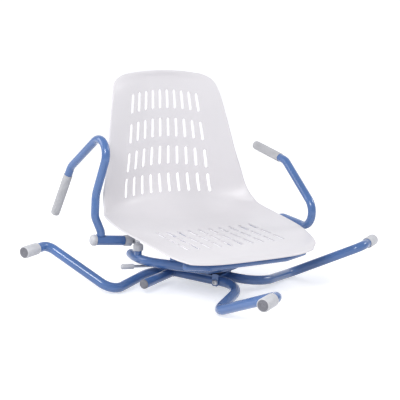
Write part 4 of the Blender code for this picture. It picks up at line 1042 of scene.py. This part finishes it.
def arm_corners(side):
    """Centre line of an arm's tube, pivot to grip, in the pivot's axes."""
    turn_x = ARM_REACH - ARM_TURN_R
    turn_z = ARM_LOW + ARM_TURN_R
    dx = ARM_TOP_FORWARD - turn_x
    dz = ARM_TOP - turn_z
    angle = math.atan2(dz, dx) - math.acos(ARM_TURN_R / math.hypot(dx, dz))
    run = Vector((-math.sin(angle), math.cos(angle)))
    touch_x = turn_x + ARM_TURN_R * math.cos(angle)
    touch_z = turn_z + ARM_TURN_R * math.sin(angle)
    meet = touch_x - run.x * (touch_z - ARM_LOW) / run.y
    return [
        (0.0, 0.0, 0.0),
        (0.0, -ARM_STEP_FORWARD * ARM_START, ARM_LOW * ARM_START, ARM_START_R),
        (side * ARM_OUT, -ARM_STEP_FORWARD * ARM_MIDDLE, ARM_LOW * ARM_MIDDLE, ARM_MIDDLE_R),
        (side * (ARM_OUT + ARM_LOW_FLARE), -ARM_STEP_FORWARD, ARM_LOW, ARM_LOW_R),
        (side * (ARM_OUT + ARM_FRONT_FLARE), -meet, ARM_LOW, ARM_TURN_R),
        (side * (ARM_OUT + ARM_TOP_FLARE), -ARM_TOP_FORWARD, ARM_TOP, ARM_TOP_R),
        (side * (ARM_OUT + ARM_END_FLARE), GRIP_END_BACK, GRIP_END_UP),
    ]


def grip_mesh():
    """Fluted grip: closed rounded end at Z = 0, a plain band and an open end at its length."""
    bore = ARM_TUBE_R + GAP
    heights = [6.0, 8.0] + [9.0 + 113.0 * step / 16.0 for step in range(17)] + [123.0, 125.0]
    side = [(GRIP_R - 0.6, GRIP_LENGTH), (GRIP_R + 0.1, GRIP_LENGTH - 0.8), (GRIP_R + 0.1, 126.5)]
    side += [(GRIP_R, z) for z in reversed(heights)]
    end = [(GRIP_R, 4.0), (GRIP_R - 0.5, 2.2), (GRIP_R - 1.8, 0.8), (GRIP_R - 4.0, 0.1), (0.0, 0.0)]
    inside = [(0.0, GRIP_END_WALL), (bore, GRIP_END_WALL), (bore, GRIP_LENGTH)]
    mesh = turned_mesh(side + end + inside, GRIP_FLUTES * 6)
    for vert in mesh.vertices:
        radius = math.hypot(vert.co.x, vert.co.y)
        if radius > mm(GRIP_R - 0.2) and mm(8.5) < vert.co.z < mm(122.5):
            angle = math.atan2(vert.co.y, vert.co.x)
            wave = abs(math.cos(GRIP_FLUTES / 2.0 * angle)) ** 0.6
            grown = radius + mm(0.30) - mm(0.85) * (1.0 - wave)
            vert.co.x *= grown / radius
            vert.co.y *= grown / radius
    return mesh


def dome_profile(radius, length, flank, stem_r, stem):
    """Mushroom cap: turned dome with a rounded rim over a stem."""
    rise = length - flank
    points = [(0.0, length)]
    for step in range(1, 13):
        angle = math.radians(90.0 * step / 12.0)
        points.append((radius * math.sin(angle) ** 1.15, flank + rise * math.cos(angle)))
    return points + [(radius, 1.6), (radius - 0.4, 0.5), (radius - 1.4, 0.0), (stem_r, 0.0),
                     (stem_r, -stem), (0.0, -stem)]


def add_arm(side, name, raised):
    body = "arm_" + name
    pivot = pivot_matrix(side, raised)
    across = spun(QUARTER * side, "Y")
    corners = arm_corners(side)
    end = Vector(corners[-1])
    ahead = (end - Vector(corners[-2][:3])).normalized()
    corners[0] = tuple(Vector(corners[1][:3]).normalized() * 10.5)
    points = filleted_path(corners[:-1] + [tuple(end - ahead * 5.3)])
    bore = SLEEVE_R - SLEEVE_WALL
    length = SLEEVE_IN + SLEEVE_END
    sleeve = turned_mesh(ring_profile(SLEEVE_R, bore, 0.0, length, 0.6))
    start = moved(-side * SLEEVE_IN, 0.0, 0.0) @ across
    arm = join_meshes([(tube_mesh(points, ARM_TUBE_R), Matrix.Identity(4)), (sleeve, start)])
    piece("arm_bar_" + name, arm, "blue_paint", body, pivot, ("arm_tube_" + name,))
    forward = Vector(corners[1][:3]).normalized()
    root = forward * (SLEEVE_R - 0.6)
    piece("arm_weld_" + name, torus_mesh(ARM_TUBE_R + 0.5, 1.8), "blue_paint", body,
          pivot @ axis_matrix(tuple(root), tuple(root + forward)))
    piece("grip_" + name, grip_mesh(), "grip_plastic", body, pivot @ axis_matrix(end, end - ahead),
          ("arm_grip_" + name,), 50.0)
    cap = turned_mesh(dome_profile(CAP_R, CAP_LENGTH, CAP_FLANK, bore - GAP, CAP_STEM))
    at = pivot @ moved(side * (SLEEVE_END + GAP), 0.0, 0.0) @ across
    piece("mushroom_cap_" + name, cap, "white_plastic", body, at, ("arm_cap_" + name,))


def pivot_point(side, outward):
    """A point on an arm's pivot axis, in millimetres in the seat's axes."""
    at = SEAT.inverted() @ pivot_matrix(side)
    return at @ mm_vector(side * outward, 0.0, 0.0) * 1000.0


def add_pivot_mount(side, name):
    """What an arm turns on: a bent axle with its collar, held by a capped post."""
    across = spun(QUARTER * side, "Y")
    sleeve_end = -SLEEVE_IN - RUN_GAP
    collar = [(13.6, COLLAR_LENGTH), (14.6, 19.6), (15.0, 18.6), (15.0, 1.4), (14.6, 0.4), (13.6, 0.0),
              (AXLE_R + GAP, 0.0), (AXLE_R + GAP, COLLAR_LENGTH)]
    inner = moved(side * (sleeve_end - COLLAR_LENGTH), 0.0, 0.0)
    at = pivot_matrix(side) @ inner @ across
    piece("bush_" + name, turned_mesh(collar), "white_plastic", "seat", at, ("arm_collar_" + name,))
    corner = pivot_point(side, sleeve_end - COLLAR_LENGTH - AXLE_BEND_RUN)
    post = Vector((side * frame_half_at(POST_Y), POST_Y, corner.z))
    outer = pivot_point(side, SLEEVE_END - CAP_STEM - RUN_GAP)
    end = post + (corner - post).normalized() * (POST_CAP_R + GAP)
    points = filleted_path([tuple(outer), (*corner, AXLE_BEND_R), tuple(end)])
    piece("axle_" + name, tube_mesh(points, AXLE_R), "zinc_steel", "seat", SEAT, ("arm_axle_" + name,))
    cap_low = post.z - POST_CAP_LENGTH / 2.0
    low = FRAME_LEVEL + TUBE_R * 0.6
    stub = tube_mesh([(post.x, post.y, low), (post.x, post.y, cap_low - GAP)], POST_R)
    seat_steel("stub_" + name, stub, "arm_post_" + name)
    cap = turned_mesh(dome_profile(POST_CAP_R, POST_CAP_LENGTH, POST_CAP_FLANK, 9.0, 0.0))
    piece("dome_" + name, cap, "white_plastic", "seat",
          SEAT @ moved(post.x, post.y, cap_low), ("arm_post_cap_" + name,))


def add_lock_lever():
    """Hand lever of the swivel lock, on the sitter's right, on a pin under the swivel plate."""
    level = SWIVEL_PLATE_Z - RUN_GAP - LEVER_R
    at_pivot = SEAT @ moved(LEVER_X, LEVER_Y, level)
    turned = at_pivot @ spun(LEVER_ANGLE, "Z")
    rod_start = (LEVER_PIN_R + LEVER_EYE_R) / 2.0
    rod = tube_mesh([(rod_start, 0.0, 0.0), (LEVER_LENGTH, 0.0, 0.0)], LEVER_R)
    hole = circle(LEVER_PIN_R + GAP, count=40)
    eye = bevelled(flat_mesh(circle(LEVER_EYE_R), LEVER_EYE_T, [hole]), 0.5)
    lever = join_meshes([(rod, Matrix.Identity(4)),
                         (eye, moved(0.0, 0.0, -LEVER_EYE_T / 2.0))])
    piece("lever_rod", lever, "zinc_steel", "lock_lever", turned, ("lock_lever_rod",))
    tip = [(0.0, 36.0), (2.6, 35.7), (4.7, 34.6), (6.2, 32.8), (7.0, 30.5), (6.7, 20.0), (7.0, 4.0),
           (6.4, 1.2), (5.2, 0.0), (0.0, 0.0)]
    rod_end = moved(LEVER_LENGTH + GAP, 0.0, 0.0)
    at = turned @ rod_end @ spun(QUARTER, "Y")
    piece("lever_tip", turned_mesh(tip), "white_plastic", "lock_lever", at, ("lock_lever_tip",))
    top = SWIVEL_PLATE_TOP - level
    head = -LEVER_R - GAP
    head_low = head - LEVER_HEAD_T
    pin = [(0.0, top), (LEVER_PIN_R, top), (LEVER_PIN_R, head), (LEVER_HEAD_R, head),
           (LEVER_HEAD_R, head - 1.4), (LEVER_HEAD_R - 0.8, head_low), (0.0, head_low)]
    piece("pin_lever", turned_mesh(pin, 40), "zinc_steel", "seat", at_pivot, ("lever_pin",))


# Floor, light and camera

FLOOR_LIFT = 0.52  # light of its own that the camera sees in the floor


def add_floor():
    """Floor that curves up into a backdrop behind the object, seen from the camera."""
    half = 6.0
    curve_r = 1.5
    back = 3.5
    profile = [(-half, 0.0)]
    for step in range(17):
        angle = math.radians(90.0 * step / 16.0)
        profile.append((back + curve_r * math.sin(angle), curve_r * (1.0 - math.cos(angle))))
    profile.append((back + curve_r, 6.0))
    facing = spun(math.atan2(-CAMERA_AHEAD[0], CAMERA_AHEAD[1]), "Z")
    low = mm(LEG_LEVEL - TUBE_R)
    bm = bmesh.new()
    rows = []
    for along, up in profile:
        rows.append([bm.verts.new(facing @ Vector((across, along, low + up)))
                     for across in (-half, half)])
    for before, after in zip(rows, rows[1:]):
        bm.faces.new((before[0], before[1], after[1], after[0]))
    mesh = filled(bpy.data.meshes.new("studio_floor"), bm)
    mesh.shade_smooth()
    floor = linked("studio_floor", mesh)
    mesh.materials.append(floor_material())


def floor_material():
    """Pale matt floor. Rays straight from the camera see it lifted to white, with the shadows kept."""
    n = Nodes("studio_floor")
    n.set(n.shader, Base_Color=(0.80, 0.80, 0.81, 1.0), Roughness=0.8,
          Emission_Color=(1.0, 1.0, 1.0, 1.0))
    rays = n.add("ShaderNodeLightPath")
    either = n.add("ShaderNodeMath")
    either.operation = "MAXIMUM"
    n.link(rays.outputs["Is Camera Ray"], either.inputs[0])
    n.link(rays.outputs["Is Glossy Ray"], either.inputs[1])
    lift = n.add("ShaderNodeMath")
    lift.operation = "MULTIPLY"
    n.link(either.outputs["Value"], lift.inputs[0])
    lift.inputs[1].default_value = FLOOR_LIFT
    n.link(lift.outputs["Value"], n.shader.inputs["Emission Strength"])
    return n.material


def add_light(name, place, target, width, height, watts):
    data = bpy.data.lights.new(name, "AREA")
    data.shape = "RECTANGLE"
    data.size = width
    data.size_y = height
    data.energy = watts
    lamp = linked(name, data)
    lamp.location = place
    lamp.rotation_euler = (Vector(target) - Vector(place)).to_track_quat("-Z", "Y").to_euler()


def add_lights():
    add_light("key_light", (0.35, -2.3, 1.65), (0.0, 0.0, 0.1), 1.0, 0.8, 33.0)
    add_light("fill_light", (-2.2, -1.0, 1.2), (0.0, 0.0, 0.1), 1.4, 1.2, 16.0)
    add_light("rim_light", (1.8, 1.6, 1.9), (0.0, 0.0, 0.2), 1.2, 0.8, 17.0)


def add_world():
    """Soft light from all sides. The camera sees plain white in its place."""
    world = bpy.data.worlds.new("studio")
    bpy.context.scene.world = world
    world.use_nodes = True
    tree = world.node_tree
    tree.nodes.clear()
    output = tree.nodes.new("ShaderNodeOutputWorld")
    mix = tree.nodes.new("ShaderNodeMixShader")
    rays = tree.nodes.new("ShaderNodeLightPath")
    tree.links.new(rays.outputs["Is Camera Ray"], mix.inputs["Fac"])
    for socket, colour, strength in ((1, (0.93, 0.95, 1.0, 1.0), 0.64), (2, (1.0, 1.0, 1.0, 1.0), 1.0)):
        light = tree.nodes.new("ShaderNodeBackground")
        light.inputs["Color"].default_value = colour
        light.inputs["Strength"].default_value = strength
        tree.links.new(light.outputs["Background"], mix.inputs[socket])
    tree.links.new(mix.outputs["Shader"], output.inputs["Surface"])
    bpy.context.scene.view_settings.view_transform = "Standard"


def add_camera():
    data = bpy.data.cameras.new("photo_camera")
    camera = linked("photo_camera", data)
    axes = Matrix((Vector(CAMERA_RIGHT), Vector(CAMERA_UP), -Vector(CAMERA_AHEAD))).transposed()
    camera.matrix_world = Matrix.Translation(CAMERA_PLACE) @ axes.to_4x4()
    data.sensor_width = CAMERA_SENSOR
    data.lens = CAMERA_LENS
    data.clip_start = 0.05
    data.clip_end = 50.0
    bpy.context.scene.camera = camera


add_camera()
add_world()
add_lights()
add_floor()
add_base()
add_side_stop()
add_hub()
add_index_bracket()
add_seat_frame()
add_shell()
add_supports()
for arm_side, arm_name, arm_raised in ((1, "left", 0.0), (-1, "right", RAISED)):
    add_arm(arm_side, arm_name, arm_raised)
    add_pivot_mount(arm_side, arm_name)
add_lock_lever()
